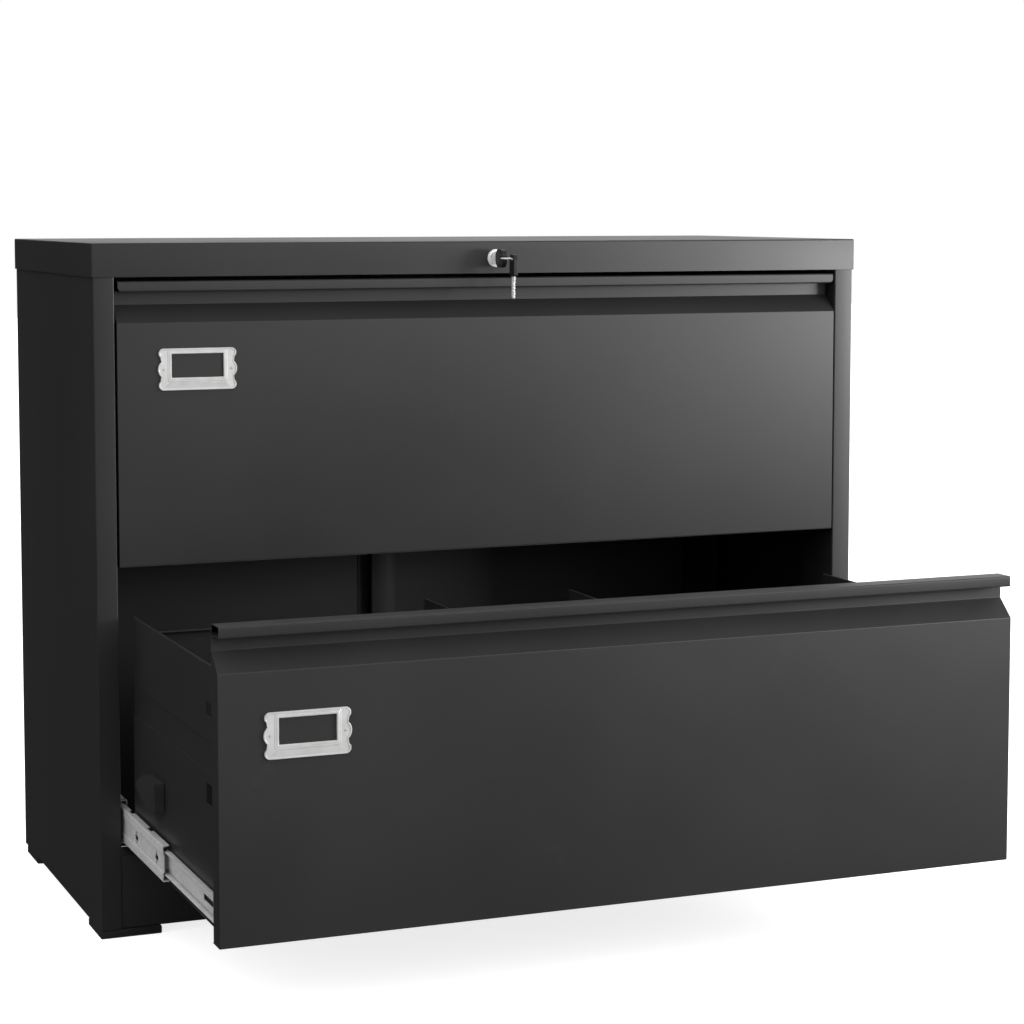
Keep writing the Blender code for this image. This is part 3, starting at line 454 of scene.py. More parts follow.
def scuffs(graph, place, given):
    """Short, fine scratches in two directions, gathered in patches."""
    found = []
    for scales in ((1.0, 0.12, 0.25), (0.15, 1.0, 0.2)):
        drawn = graph.add("ShaderNodeMapping", {"Vector": place, "Scale": scales}).outputs["Vector"]
        found.append(graph.remap(graph.noise(drawn, given["Scale"], 2.0, 0.7), 0.655, 0.70))
    broad = graph.maths("MULTIPLY", given["Scale"], 0.04)
    patches = graph.remap(graph.noise(place, broad, 2.0), 0.45, 0.65)
    return {"Mask": graph.maths("MULTIPLY", graph.maths("MAXIMUM", *found), patches)}


def painted_hollow_shade(graph, place, given):
    """Painted shade: darkening from ambient occlusion in grooves and inner corners, varied in patches."""
    open_sky = graph.add("ShaderNodeAmbientOcclusion", {"Distance": given["Reach"]}, samples=6).outputs["AO"]
    patches = graph.remap(graph.noise(place, given["Patch Scale"], 3.0), 0.2, 0.6, 0.6, 1.0)
    return {"Mask": graph.maths("MULTIPLY", graph.remap(open_sky, 0.95, 0.35), patches)}


EFFECTS = {
    # Paler edges: partly rubbing, partly a painted highlight along rounded edges
    "rubbing_and_highlight": effect_group("Rubbed and highlit edges", {"Radius": 0.001, "Patch Scale": 60.0}, ["Mask"], rubbed_and_highlit_edges),
    "peel": effect_group(
        "Powder orange peel", {"Pebble Scale": 900.0, "Drift Scale": 3.0}, ["Height", "Drift"], orange_peel
    ),
    "dust": effect_group("Settled dust", {"Patch Scale": 9.0, "Mote Scale": 700.0}, ["Mask"], settled_dust),
    "grain": effect_group(
        "Rolled grain", {"Grain Scale": 900.0, "Stretch": (1.0, 0.02, 1.0)}, ["Height", "Lines"],
        rolled_grain,
    ),
    "bloom": effect_group("Zinc bloom", {"Cell Scale": 420.0}, ["Tone"], zinc_bloom),
    "scuffs": effect_group("Scuffs", {"Scale": 500.0}, ["Mask"], scuffs),
    # Painted shade: ambient occlusion darkens grooves and hollows
    "recess_shade": effect_group("Painted hollow shade", {"Reach": 0.002, "Patch Scale": 150.0}, ["Mask"], painted_hollow_shade),
}


class Finish(Graph):
    """A material around one Principled BSDF. Constant numbers go straight to the shader's sockets."""

    def __init__(self, name, **constants):
        self.material = bpy.data.materials.new(name)
        self.material.use_nodes = True
        super().__init__(self.material.node_tree)
        self.shader = self.tree.nodes["Principled BSDF"]
        for label, value in constants.items():
            self.shader.inputs[label.replace("_", " ")].default_value = value

    def effect(self, name, **values):
        node = self.add("ShaderNodeGroup", node_tree=EFFECTS[name])
        for label, value in values.items():
            node.inputs[label.replace("_", " ")].default_value = value
        return node.outputs

    def layered(self, colour, *layers):
        """Lays (mask, share, tint) layers over a colour."""
        for mask, share, tint in layers:
            colour = self.mix(self.maths("MULTIPLY", mask, share), colour, tint)
        return colour

    def shade(self, colour, roughness=None, height=None, bump=(0.0, 0.0)):
        """Links varying colour and roughness, and a bump of (strength, distance) from a height."""
        self.tree.links.new(colour, self.shader.inputs["Base Color"])
        if roughness:
            self.tree.links.new(roughness, self.shader.inputs["Roughness"])
        if height:
            values = {"Height": height, "Strength": bump[0], "Distance": bump[1]}
            normal = self.add("ShaderNodeBump", values).outputs["Normal"]
            self.tree.links.new(normal, self.shader.inputs["Normal"])
        return self.material


def grey(value, warm=0.0):
    """A grey colour, a little yellower when warm."""
    return (value * (1 + warm), value, value * (1 - warm), 1.0)


def powder_coat(name, tone, gloss):
    """Satin charcoal powder coat: pebbled, cloudy in sheen, paler at its edges from rubbing and a painted
    highlight, and dusty on top.
    """
    finish = Finish(name, Specular_IOR_Level=0.5, IOR=1.5)
    peel = finish.effect("peel", Pebble_Scale=850.0, Drift_Scale=2.6)
    # Paler edges: partly rubbing, partly a painted highlight
    rubbing_and_highlight = finish.effect("rubbing_and_highlight", Radius=0.0009, Patch_Scale=45.0)["Mask"]
    settled = finish.maths("MULTIPLY", finish.effect("dust")["Mask"], 0.5)
    scratched = finish.effect("scuffs", Scale=260.0)["Mask"]
    drift = finish.remap(peel["Drift"], 0.3, 0.7)
    colour = finish.mix(drift, grey(tone * 0.92), grey(tone * 1.08, 0.01))
    colour = finish.layered(colour, (rubbing_and_highlight, 0.35, grey(tone * 3.2)), (scratched, 0.10, grey(tone * 2.5)),
                            (settled, 0.16, grey(0.20, 0.03)))
    rough = finish.remap(peel["Drift"], 0.25, 0.75, gloss - 0.03, gloss + 0.04)
    rough = finish.maths("ADD", rough, finish.maths("MULTIPLY", settled, 0.18))
    rough = finish.maths("SUBTRACT", rough, finish.maths("MULTIPLY", rubbing_and_highlight, 0.08), clamp=True)
    return finish.shade(colour, rough, peel["Height"], (0.12, 0.00012))


def zinc(name, tone, gloss, stretch):
    """Plated steel with rolling grain, a cloudy bloom, draw lines, edges made brighter by rubbing and a
    painted highlight, and painted shade in its hollows.
    """
    finish = Finish(name, Metallic=0.35)
    streaks = finish.effect("grain", Stretch=stretch)
    bloom = finish.remap(finish.effect("bloom", Cell_Scale=330.0)["Tone"], 0.3, 0.7)
    # Paler edges: partly rubbing, partly a painted highlight
    rubbing_and_highlight = finish.effect("rubbing_and_highlight", Radius=0.0006, Patch_Scale=90.0)["Mask"]
    # Painted shade: ambient occlusion darkens the hollows
    recess_shade = finish.effect("recess_shade", Reach=0.004)["Mask"]
    colour = finish.mix(bloom, grey(tone * 0.90, 0.01), grey(tone * 1.05, -0.005))
    colour = finish.layered(colour, (streaks["Lines"], 0.25, grey(tone * 0.62)),
                            (rubbing_and_highlight, 0.6, grey(tone * 1.3)), (recess_shade, 0.75, grey(tone * 0.12, 0.03)))
    rough = finish.remap(bloom, 0.0, 1.0, gloss + 0.07, gloss - 0.03)
    rough = finish.maths("ADD", rough, finish.maths("MULTIPLY", streaks["Lines"], 0.12), clamp=True)
    return finish.shade(colour, rough, streaks["Height"], (0.08, 0.00004))


def moulded(name, tone, gloss, warm=0.0, grain=1400.0):
    """Moulded plastic with a fine spark-eroded grain, edges made paler by rubbing and a painted highlight,
    and handling scuffs.
    """
    finish = Finish(name, Specular_IOR_Level=0.45)
    peel = finish.effect("peel", Pebble_Scale=grain, Drift_Scale=40.0)
    # Paler edges: partly rubbing, partly a painted highlight
    rubbing_and_highlight = finish.effect("rubbing_and_highlight", Radius=0.0007, Patch_Scale=200.0)["Mask"]
    marks = finish.effect("scuffs", Scale=700.0)["Mask"]
    settled = finish.effect("dust", Patch_Scale=60.0)["Mask"]
    drift = finish.remap(peel["Drift"], 0.3, 0.7)
    colour = finish.mix(drift, grey(tone * 0.85, warm), grey(tone * 1.15, warm))
    colour = finish.layered(colour, (rubbing_and_highlight, 0.4, grey(tone * 3.0, warm)),
                            (marks, 0.25, grey(tone * 2.4, warm)), (settled, 0.15, grey(0.16, 0.04)))
    rough = finish.remap(peel["Drift"], 0.25, 0.75, gloss - 0.05, gloss + 0.06)
    return finish.shade(colour, rough, peel["Height"], (0.22, 0.00012))


def bright_plating(name, tone, gloss):
    """Polished nickel with a faint haze, hairline scuffs and soft casting waves."""
    finish = Finish(name, Metallic=0.40)
    marks = finish.effect("scuffs", Scale=900.0)["Mask"]
    peel = finish.effect("peel", Pebble_Scale=260.0, Drift_Scale=70.0)
    haze = finish.remap(peel["Drift"], 0.3, 0.75)
    colour = finish.mix(haze, grey(tone, 0.004), grey(tone * 0.92, 0.012))
    rough = finish.remap(haze, 0.0, 1.0, gloss - 0.02, gloss + 0.06)
    rough = finish.maths("ADD", rough, finish.maths("MULTIPLY", marks, 0.25), clamp=True)
    return finish.shade(colour, rough, peel["Height"], (0.10, 0.0001))


def label_metal(name, tone, gloss):
    """Silver-white pressed metal: lacquered satin with faint brushing and painted shade darkening its
    hollows.
    """
    finish = Finish(name, Metallic=0.55, Coat_Weight=0.25, Coat_Roughness=0.25)
    streaks = finish.effect("grain", Grain_Scale=1500.0, Stretch=(0.04, 1.0, 1.0))
    # Paler edges: partly rubbing, partly a painted highlight
    rubbing_and_highlight = finish.effect("rubbing_and_highlight", Radius=0.0005, Patch_Scale=260.0)["Mask"]
    drift = finish.remap(finish.effect("peel", Drift_Scale=90.0)["Drift"], 0.3, 0.7)
    # Painted shade: ambient occlusion darkens the hollows
    recess_shade = finish.effect("recess_shade", Reach=0.0016)["Mask"]
    colour = finish.mix(drift, grey(tone * 0.94, 0.01), grey(tone))
    colour = finish.layered(colour, (streaks["Lines"], 0.12, grey(tone * 0.75)),
                            (rubbing_and_highlight, 0.5, grey(tone * 1.1)), (recess_shade, 0.7, grey(tone * 0.25, 0.02)))
    rough = finish.remap(drift, 0.0, 1.0, gloss, gloss + 0.08)
    return finish.shade(colour, rough, streaks["Height"], (0.15, 0.00005))


FINISHES = {
    "charcoal_powder_coat": powder_coat("charcoal powder coat", 0.0174, 0.42),
    "zinc_slides": zinc("rolled zinc, runs front to back", 0.58, 0.34, (1.0, 0.02, 1.0)),
    "zinc_hardware": zinc("pressed zinc hardware", 0.52, 0.36, (0.05, 0.3, 1.0)),
    "bright_plating": bright_plating("bright nickel", 0.94, 0.16),
    "label_frame_metal": label_metal("silver-white label metal", 0.74, 0.36),
    "key_plastic": moulded("key plastic", 0.012, 0.42),
    "black_plastic": moulded("catch plastic", 0.021, 0.46, 0.03),
    "foot_plastic": moulded("foot plastic", 0.016, 0.55, 0.10, 900.0),
}


# --- Folded sheets ---------------------------------------------------------------------------------------


def span(node):
    """A node's box as (x0, x1), (y0, y1), (z0, z1)."""
    low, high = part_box(node)
    return [(low[k], high[k]) for k in range(3)]


def outward(node):
    """The side that a node is on (-1 left, 1 right), and its least and greatest distance from the middle."""
    x0, x1 = span(node)[0]
    side = -1 if x0 + x1 < 0 else 1
    return side, min(abs(x0), abs(x1)), max(abs(x0), abs(x1))


def sided(path, side):
    """A path of (x, y) points on the left (-1) or right (1) side, ordered to keep its sheet inside."""
    placed = [(side * x, y) for x, y in path]
    return placed if side < 0 else placed[::-1]


def block(low, high, into=None):
    """A box, built as a prism so that it can join other shapes."""
    outline = [(low[0], low[1]), (high[0], low[1]), (high[0], high[1]), (low[0], high[1])]
    return prism(outline, "Z", low[2], high[2], into)


def carve(thing, shape):
    """Cuts a shape out of a piece for good."""
    bmesh.ops.recalc_face_normals(shape, faces=shape.faces)
    mesh = bpy.data.meshes.new("cutter")
    shape.to_mesh(mesh)
    shape.free()
    cutter = bpy.data.objects.new("cutter", mesh)
    bpy.context.scene.collection.objects.link(cutter)
    change = thing.modifiers.new("Cut", "BOOLEAN")
    change.operation = "DIFFERENCE"
    change.object = cutter
    bpy.context.view_layer.update()
    cut = bpy.data.meshes.new_from_object(thing.evaluated_get(bpy.context.evaluated_depsgraph_get()))
    thing.modifiers.clear()
    thing.data = cut
    cut.set_sharp_from_angle(angle=radians(SHARP))
    bpy.data.objects.remove(cutter)
    return thing


def drawer_front(drawer):
    """The folded front: a box skin with closed ends below, and an open-ended lip above the finger grip."""
    node = f"{drawer}_front_skin"
    (x0, x1), (y0, y1), (z0, z1) = span(node)
    neck_top = z1 - LIP_HEIGHT
    neck_bottom = neck_top - NECK_HEIGHT
    face_top = neck_bottom - SLOPE_HEIGHT
    grip = y0 + GRIP_DEPTH
    section = [(y1, z0), (y0, z0), (y0, face_top), (grip, neck_bottom), (grip, neck_top)]
    shape = prism(bent_sheet(section, -SHEET), "X", x0, x1)
    lip = [(grip, neck_top), (y0, neck_top), (y0, z1), (y1, z1), (y1, z1 - LIP_RETURN)]
    prism(bent_sheet(lip, -SHEET), "X", x0 + LIP_INSET, x1 - LIP_INSET, shape)
    inside = SHEET + SEAM
    cap = [
        (y1 - inside, z0 + inside, 0),
        (y0 + inside, z0 + inside, FOLD_RADIUS - SHEET),
        (y0 + inside, face_top - SEAM, CAP_CORNER),
        (grip + inside, neck_bottom, CAP_CORNER),
        (grip + inside, neck_top, 0),
        (y1 - inside, neck_top, 0),
    ]
    for edge, inner in ((x0 + CAP_RECESS, SHEET), (x1 - CAP_RECESS, -SHEET)):
        prism(rounded(cap), "X", *sorted((edge, edge + inner)), shape)
    made = piece(f"{node}_folded", shape, "charcoal_powder_coat", f"{drawer}_drawer", [node])
    if drawer == "upper":
        for edge, way in ((x0 + LIP_INSET, 1), (x1 - LIP_INSET, -1)):
            carve(made, lip_corner(edge, way, y0, neck_top))
    bevelled(made, EDGE_ROUND)


def lip_corner(edge, way, front, bottom):
    """The waste outside a rounded lower corner of the lip."""
    turns = [pi / 2 * k / CORNER_STEPS for k in range(CORNER_STEPS + 1)]
    arc = [(LIP_CORNER * (1 - cos(turn)), LIP_CORNER * (1 - sin(turn))) for turn in turns]
    waste = [*arc, (LIP_CORNER, -SHEET), (-SHEET, -SHEET), (-SHEET, LIP_CORNER)]
    outline = [(edge + way * x, bottom + z) for x, z in waste]
    return prism(outline, "Y", front - SHEET, front + GRIP_DEPTH / 2)


def top_cover():
    """A folded tray with welded corners and the front lip over the drawers, a return under that lip, and a
    hole for the lock.
    """
    limits = span("top_cover")
    y0, z0 = limits[1][0], limits[2][0]
    shape = bmesh.new()
    bmesh.ops.create_cube(shape, size=1.0)
    for vertex in shape.verts:
        vertex.co = [limits[k][vertex.co[k] > 0] for k in range(3)]
    under = [face for face in shape.faces if face.normal.z < -0.5]
    bmesh.ops.delete(shape, geom=under, context="FACES_ONLY")
    folds = [edge for edge in shape.edges if not edge.is_boundary]
    bmesh.ops.bevel(shape, geom=folds, offset=FOLD_RADIUS, segments=FOLD_STEPS, profile=0.5, affect="EDGES")
    cover = piece("top_cover_folded", shape, "charcoal_powder_coat", "case", ["top_cover"])
    wall = cover.modifiers.new("Sheet", "SOLIDIFY")
    wall.thickness = SHEET
    wall.offset = -1
    middle = [sum(pair) / 2 for pair in span("lock_housing")]
    hole = [(0, y0 - SHEET), (LOCK_HOLE, y0 - SHEET), (LOCK_HOLE, y0 + 2 * SHEET), (0, y0 + 2 * SHEET)]
    carve(cover, turned(hole, (middle[0], 0, middle[2])))
    bevelled(cover, EDGE_ROUND)

    opening = outward("left_side_panel")[1]
    lip_z = z0 + FOLD_RADIUS
    lip = [(y0 + SHEET, lip_z), (y0 + COVER_LIP, lip_z), (y0 + COVER_LIP, lip_z + LIP_RETURN)]
    shape = prism(bent_sheet(lip), "X", -opening, opening)
    bevelled(piece("top_cover_front_return", shape, "charcoal_powder_coat", "case"), EDGE_ROUND)


def side_panel(name):
    """One sheet folded into the side, the front stile and the rear upright."""
    node = f"{name}_side_panel"
    side, inner, outer = outward(node)
    (y0, y1), (z0, z1) = span(node)[1:]
    path = [(inner, y1 - REAR_UPRIGHT), (inner, y1), (outer, y1), (outer, y0), (inner, y0),
            (inner, y0 + STILE_RETURN)]
    shape = prism(bent_sheet(sided(path, side)), "Z", z0, z1)
    bevelled(piece(f"{node}_folded", shape, "charcoal_powder_coat", "case", [node]), EDGE_ROUND)


def plinth_rail():
    """The rail above the floor, with a shelf under the lower drawer and a floor flange."""
    (x0, x1), (y0, y1), (z0, z1) = span("plinth_rail")
    path = [(y0 + PLINTH_SHELF, z1 - PLINTH_DROP), (y0 + PLINTH_SHELF, z1), (y0, z1), (y0, z0), (y1, z0)]
    shape = prism(bent_sheet(path), "X", x0 - WELD_LAP, x1 + WELD_LAP)
    bevelled(piece("plinth_rail_folded", shape, "charcoal_powder_coat", "case", ["plinth_rail"]), EDGE_ROUND)


def back_panel():
    """The back sheet, with its floor and head flanges."""
    (x0, x1), (y0, y1), (z0, z1) = span("back_panel")
    path = [(y0, z0), (y1, z0), (y1, z1), (y1 - BACK_HEAD, z1)]
    shape = prism(bent_sheet(path), "X", x0 - WELD_LAP, x1 + WELD_LAP)
    bevelled(piece("back_panel_folded", shape, "charcoal_powder_coat", "case", ["back_panel"]), EDGE_ROUND)


def drawer_side(drawer, name):
    """The drawer's side in two slotted sheets: a joggled, flanged lower one and a hemmed upper plate."""
    body = f"{drawer}_drawer"
    node = f"{drawer}_side_{name}"
    side, inner, outer = outward(node)
    (y0, y1), (z0, z1) = span(node)[1:]
    plate = f"{drawer}_side_plate_{name}"
    seam, top = span(plate)[2]
    joggle = seam - JOGGLE_DROP
    face = outer - SHEET - SEAM
    path = [(face, z1), (face, joggle + SHEET + SEAM), (outer, joggle), (outer, z0), (inner, z0)]
    shape = prism(bent_sheet(sided(path, side)), "Y", y0, y1)
    lower = piece(f"{node}_folded", shape, "charcoal_powder_coat", body, [node])
    hem = [(outer - HEM, top - HEM_DEPTH), (outer - HEM, top), (outer, top), (outer, seam)]
    shape = prism(bent_sheet(sided(hem, side)), "Y", y0, y1)
    upper = piece(f"{plate}_folded", shape, "charcoal_powder_coat", body, [plate])
    front = span(f"{drawer}_front_skin")[1][0]
    xs = sorted((side * (outer + SHEET), side * (outer - SHEET - SEAM / 2)))
    ys = (front + SLOT_REAR - SLOT_LENGTH, front + SLOT_REAR)
    slots = ((upper, top - UPPER_SLOT[0], UPPER_SLOT[1]), (lower, z0 + LOWER_SLOT[0], LOWER_SLOT[1]))
    for sheet, bottom, height in slots:
        carve(sheet, block((xs[0], ys[0], bottom), (xs[1], ys[1], bottom + height)))
        bevelled(sheet, EDGE_ROUND)


def spot_welds(name, body, centres, axis, way):
    """The shallow rings that spot welding leaves on a sheet's face, in one piece."""
    under, crest, dip = -way * WELD_DEPTH, way * WELD_DEPTH, way * WELD_DEPTH / 2
    profile = [(0, under), (WELD_RADIUS, under), (WELD_RADIUS, 0), (WELD_RADIUS * WELD_CREST, crest),
               (WELD_RADIUS * WELD_DIP, dip), (0, dip)]
    shape = bmesh.new()
    for centre in centres:
        turned(profile, centre, axis, WELD_SIDES, shape)
    piece(name, shape, "charcoal_powder_coat", body)


def welds():
    """Rows of spot welds down the back panel's ends and along the seam of each drawer side."""
    (x0, x1), (_, rear), (z0, z1) = span("back_panel")
    count = round((z1 - z0) / WELD_PITCH)
    heights = [z0 + (k + 0.5) * (z1 - z0) / count for k in range(count)]
    spots = [(x, rear, z) for x in (x0 + WELD_INSET, x1 - WELD_INSET) for z in heights]
    spot_welds("back_panel_spot_welds", "case", spots, "Y", 1)
    for drawer in DRAWERS:
        for hand in HANDS:
            plate = f"{drawer}_side_plate_{hand}"
            side, _, outer = outward(plate)
            y0, y1 = span(plate)[1]
            height = (span(plate)[2][0] + span(f"{drawer}_side_{hand}")[2][1]) / 2
            count = round((y1 - y0) / WELD_PITCH)
            spots = [(side * outer, y0 + (k + 0.5) * (y1 - y0) / count, height) for k in range(count)]
            spot_welds(f"{plate}_spot_welds", f"{drawer}_drawer", spots, "X", side)


# --- Slides ----------------------------------------------------------------------------------------------


def channel(side, web, tip, low, high, lip=0.0, bead=0.0):
    """A slide member's section: a web with a pressed bead, flanges, and lips that turn in."""
    inwards = 1 if tip > web else -1
    deep = web + inwards * bead
    beside = (high - low) * BEAD_SHARE
    path = [(tip, high), (web, high)]
    if bead:
        path += [(web, high - beside), (deep, high - beside - bead)]
        path += [(deep, low + beside + bead), (web, low + beside)]
    path += [(web, low), (tip, low)]
    if lip:
        path = [(tip, high - lip), *path, (tip, low + lip)]
    if web < tip:
        path = path[::-1]
    return bent_sheet(sided(path, side), SLIDE_STEEL, SLIDE_FOLD)


def slide(drawer, name):
    """Outer, middle and inner members of one slide, with their cages of balls."""
    nodes = {kind: f"{drawer}_slide_{kind}_{name}" for kind in ("outer", "middle", "inner")}
    bodies = {"outer": "case", "middle": f"{drawer}_runners", "inner": f"{drawer}_drawer"}
    centre = sum(span(nodes["outer"])[2]) / 2
    made = {}
    for kind, node in nodes.items():
        side, near, far = outward(node)
        (y0, y1), (z0, z1) = span(node)[1:]
        if kind == "middle":
            z0, z1 = centre - MIDDLE_HEIGHT / 2, centre + MIDDLE_HEIGHT / 2
        web, tip = (near, far) if kind == "inner" else (far, near)
        outline = channel(side, web, tip, z0, z1, RACE_LIP if kind == "outer" else 0.0, BEADS[kind])
        shape = prism(outline, "Y", y0, y1)
        made[kind] = piece(f"{node}_rolled", shape, "zinc_slides", bodies[kind], [node])

    side, near, far = outward(nodes["middle"])
    y0, y1 = span(nodes["middle"])[1]
    web = sorted((side * (far + SHEET), side * (far - 4 * SLIDE_STEEL)))
    for place in CROSS_HOLES:
        for length, height in (CROSS_HOLE, CROSS_HOLE[::-1]):
            carve(made["middle"], block((web[0], y0 + place - height / 2, centre - length / 2),
                                        (web[1], y0 + place + height / 2, centre + length / 2)))
    flange = sorted((side * (near - SHEET), side * (near + FLANGE_SLOT[0])))
    top = centre + MIDDLE_HEIGHT / 2
    for place in FLANGE_SLOTS:
        carve(made["middle"], block((flange[0], y0 + place, top - 2 * SLIDE_STEEL),
                                    (flange[1], y0 + place + FLANGE_SLOT[1], top + SHEET)))
    ball_x = side * (near + far - SLIDE_STEEL) / 2
    flange_middle = MIDDLE_HEIGHT / 2 - SLIDE_STEEL / 2
    outer_race = span(nodes["outer"])[2][1] - centre - SLIDE_STEEL
    inner_race = span(nodes["inner"])[2][1] - centre
    outer_height = (outer_race + flange_middle + SLIDE_STEEL / 2) / 2
    inner_height = (inner_race + flange_middle - SLIDE_STEEL / 2) / 2
    node, body = nodes["middle"], bodies["middle"]
    rear = y1 - CAGE_INSET - CAGE_LENGTH
    ball_cage(f"{node}_outer_cage", body, (ball_x, rear, centre), outer_height, OUTER_BALL)
    ball_cage(f"{node}_inner_cage", body, (ball_x, y0 + CAGE_INSET, centre), inner_height, INNER_BALL)

    near = outward(nodes["inner"])[1]
    y0 = span(nodes["inner"])[1][0]
    xs = sorted((side * (near - SHEET), side * (near + 3 * SLIDE_STEEL)))
    start, length, height = RELEASE_SLOT
    carve(made["inner"], block((xs[0], y0 + start, centre - height / 2),
                               (xs[1], y0 + start + length, centre + height / 2)))
    for member in made.values():
        bevelled(member, EDGE_ROUND)


def ball_cage(name, body, start, height, radius):
    """Two rows of balls, above and below the channel's middle, each between two strips."""
    x, y, z = start
    balls = bmesh.new()
    strips = bmesh.new()
    count = int(CAGE_LENGTH / BALL_PITCH)
    for way in (1, -1):
        row = z + way * height
        for k in range(count):
            centre = (x, y + BALL_PITCH * (k + 0.5), row)
            turns = [pi * step / BALL_STEPS for step in range(1, BALL_STEPS)]
            arc = [(radius * sin(turn), -radius * cos(turn)) for turn in turns]
            turned([(0, -radius), *arc, (0, radius)], centre, "X", BALL_SIDES, balls)
        for edge in (-1, 1):
            wall = sorted((x + edge * radius * CAGE_PLACE, x + edge * (radius * CAGE_PLACE + CAGE_WALL)))
            half = radius * CAGE_HEIGHT
            block((wall[0], y, row - half), (wall[1], y + CAGE_LENGTH, row + half), strips)
    piece(f"{name}_balls", balls, "bright_plating", body)
    bevelled(piece(f"{name}_strips", strips, "zinc_hardware", body), EDGE_ROUND)


# --- Label frames ----------------------------------------------------------------------------------------


def label_plate_outline(half_width, half_height, inset=0.0):
    """Straight edges, a round lobe at each corner and a wider bulge amid each end."""
    lobe = LABEL_LOBE * half_height
    bulge = LABEL_BULGE * half_height
    arcs = ((BULGE_ARC, half_width - bulge, 0.0, bulge - inset),
            (LOBE_ARC, half_width - LOBE_PLACE * lobe, half_height - lobe, lobe - inset))
    quarter = [(x + reach * cos(radians(turn)), z + reach * sin(radians(turn)))
               for arc, x, z, reach in arcs for turn in arc]
    middle = [point for point in quarter if abs(point[1]) <= bulge]
    upper = [point for point in quarter if point[1] > bulge]
    right = [(x, -z) for x, z in upper[::-1]] + middle + upper
    return right + [(-x, z) for x, z in right[::-1]]


def label_frame(drawer):
    """A pressed frame: a rim, a sunk field, a stepped window border, a sloping strip and two rivets."""
    node = f"{drawer}_label_frame"
    (x0, x1), (front, back), (z0, z1) = span(node)
    middle = ((x0 + x1) / 2, (z0 + z1) / 2)
    half = ((x1 - x0) / 2, (z1 - z0) / 2)
    field = front + LABEL_LIP
    body = f"{drawer}_drawer"
    made = bmesh.new()

    def ring(points, y):
        return [made.verts.new((middle[0] + x, y, middle[1] + z)) for x, z in points]

    def join(rings):
        for first, second in pairwise(rings):
            for k in range(len(first)):
                j = (k + 1) % len(first)
                made.faces.new((first[k], first[j], second[j], second[k]))

    def edges(points):
        return [made.edges.get((points[k - 1], points[k])) for k in range(len(points))]

    rim = [(0.0, back), *((inset, front + depth) for inset, depth in LABEL_RIM)]
    outer = [ring(label_plate_outline(*half, inset), y) for inset, y in rim]
    width, height, lift = LABEL_WINDOW
    border = [*((grow, front + depth) for grow, depth in LABEL_BORDER), (0.0, back)]
    inner = []
    for grow, y in border:
        a, b = width / 2 + grow, height / 2 + grow
        corner = WINDOW_CORNER + grow / 3
        places = [(-a, lift - b), (a, lift - b), (a, lift + b), (-a, lift + b)]
        inner.append(ring(rounded([(*place, corner) for place in places]), y))
    join(outer)
    join(inner)
    for first, second in ((outer[-1], inner[0]), (outer[0], inner[-1])):
        bmesh.ops.triangle_fill(made, edges=edges(first) + edges(second), use_beauty=True)
    piece(f"{node}_pressed", made, "label_frame_metal", body, [node], smooth=25)

    top, bottom, tall, up = LABEL_STRIP
    low = z0 + up
    corners = [(-bottom / 2, low), (bottom / 2, low), (top / 2, low + tall), (-top / 2, low + tall)]
    strip = bmesh.new()
    below = [strip.verts.new((middle[0] + x, field + STRIP_ROOT, z)) for x, z in corners]
    above = [strip.verts.new((middle[0] + x, (front + STRIP_TOE, front)[z > low], z)) for x, z in corners]
    strip.faces.new(below)
    strip.faces.new(above[::-1])
    for k in range(4):
        j = (k + 1) % 4
        strip.faces.new((below[k], below[j], above[j], above[k]))
    bevelled(piece(f"{node}_strip", strip, "label_frame_metal", body), STRIP_EDGE)
    head = [(radius, front + depth) for radius, depth in RIVET]
    for hand, way in (("left", -1), ("right", 1)):
        centre = (middle[0] + way * (half[0] - RIVET_INSET), 0, middle[1])
        piece(f"{node}_rivet_{hand}", turned(head, centre, "Y", 24), "zinc_hardware", body)


# --- Lock and keys ---------------------------------------------------------------------------------------


def lock():
    """The housing with its stepped rosette, and the plug with its keyway."""
    (x0, x1), (y0, y1), (z0, z1) = span("lock_housing")
    centre = ((x0 + x1) / 2, 0, (z0 + z1) / 2)
    radius = (x1 - x0) / 2
    seat = span("top_cover")[1][0] - SEAM / 2
    bore = PLUG_RADIUS + SEAM
    profile = [(bore, y1)]
    profile += [(bore + out, y0 + depth) for out, depth in HOUSING_RIM]
    profile += [(radius - inset, y0 + depth) for inset, depth in ROSETTE_EDGE]
    profile += [(radius, seat), (HOUSING_RADIUS, seat), (HOUSING_RADIUS, y1)]
    shape = turned(profile, centre, "Y", 72)
    piece("lock_housing_turned", shape, "bright_plating", "case", ["lock_housing"], smooth=30)

    y0, y1 = span("lock_plug")[1]
    rim = [(PLUG_RADIUS - inset, y0 + depth) for inset, depth in PLUG_RIM]
    shape = turned([(0, rim[0][1]), *rim, (PLUG_RADIUS, y1), (0, y1)], centre, "Y", 64)
    plug = piece("lock_plug_turned", shape, "bright_plating", "lock_barrel", ["lock_plug"], smooth=30)
    width, height = KEYWAY
    carve(plug, block((-width / 2, y0 - SHEET, centre[2] - height / 2),
                      (width / 2, y0 + KEYWAY_DEPTH, centre[2] + height / 2)))
    bevelled(plug, PLUG_EDGE)


def key_head(node, body, corners, hole):
    """A moulded bow: a rounded outline with a ring hole and soft edges."""
    x0, x1 = span(node)[0]
    made = piece(f"{node}_moulded", prism(rounded(corners), "X", x0, x1), "key_plastic", body, [node])
    bore = [(0, -KEY_HOLE), (KEY_HOLE, -KEY_HOLE), (KEY_HOLE, KEY_HOLE), (0, KEY_HOLE)]
    carve(made, turned(bore, ((x0 + x1) / 2, *hole), "X", 32))
    bevelled(made, KEY_EDGE, 4)


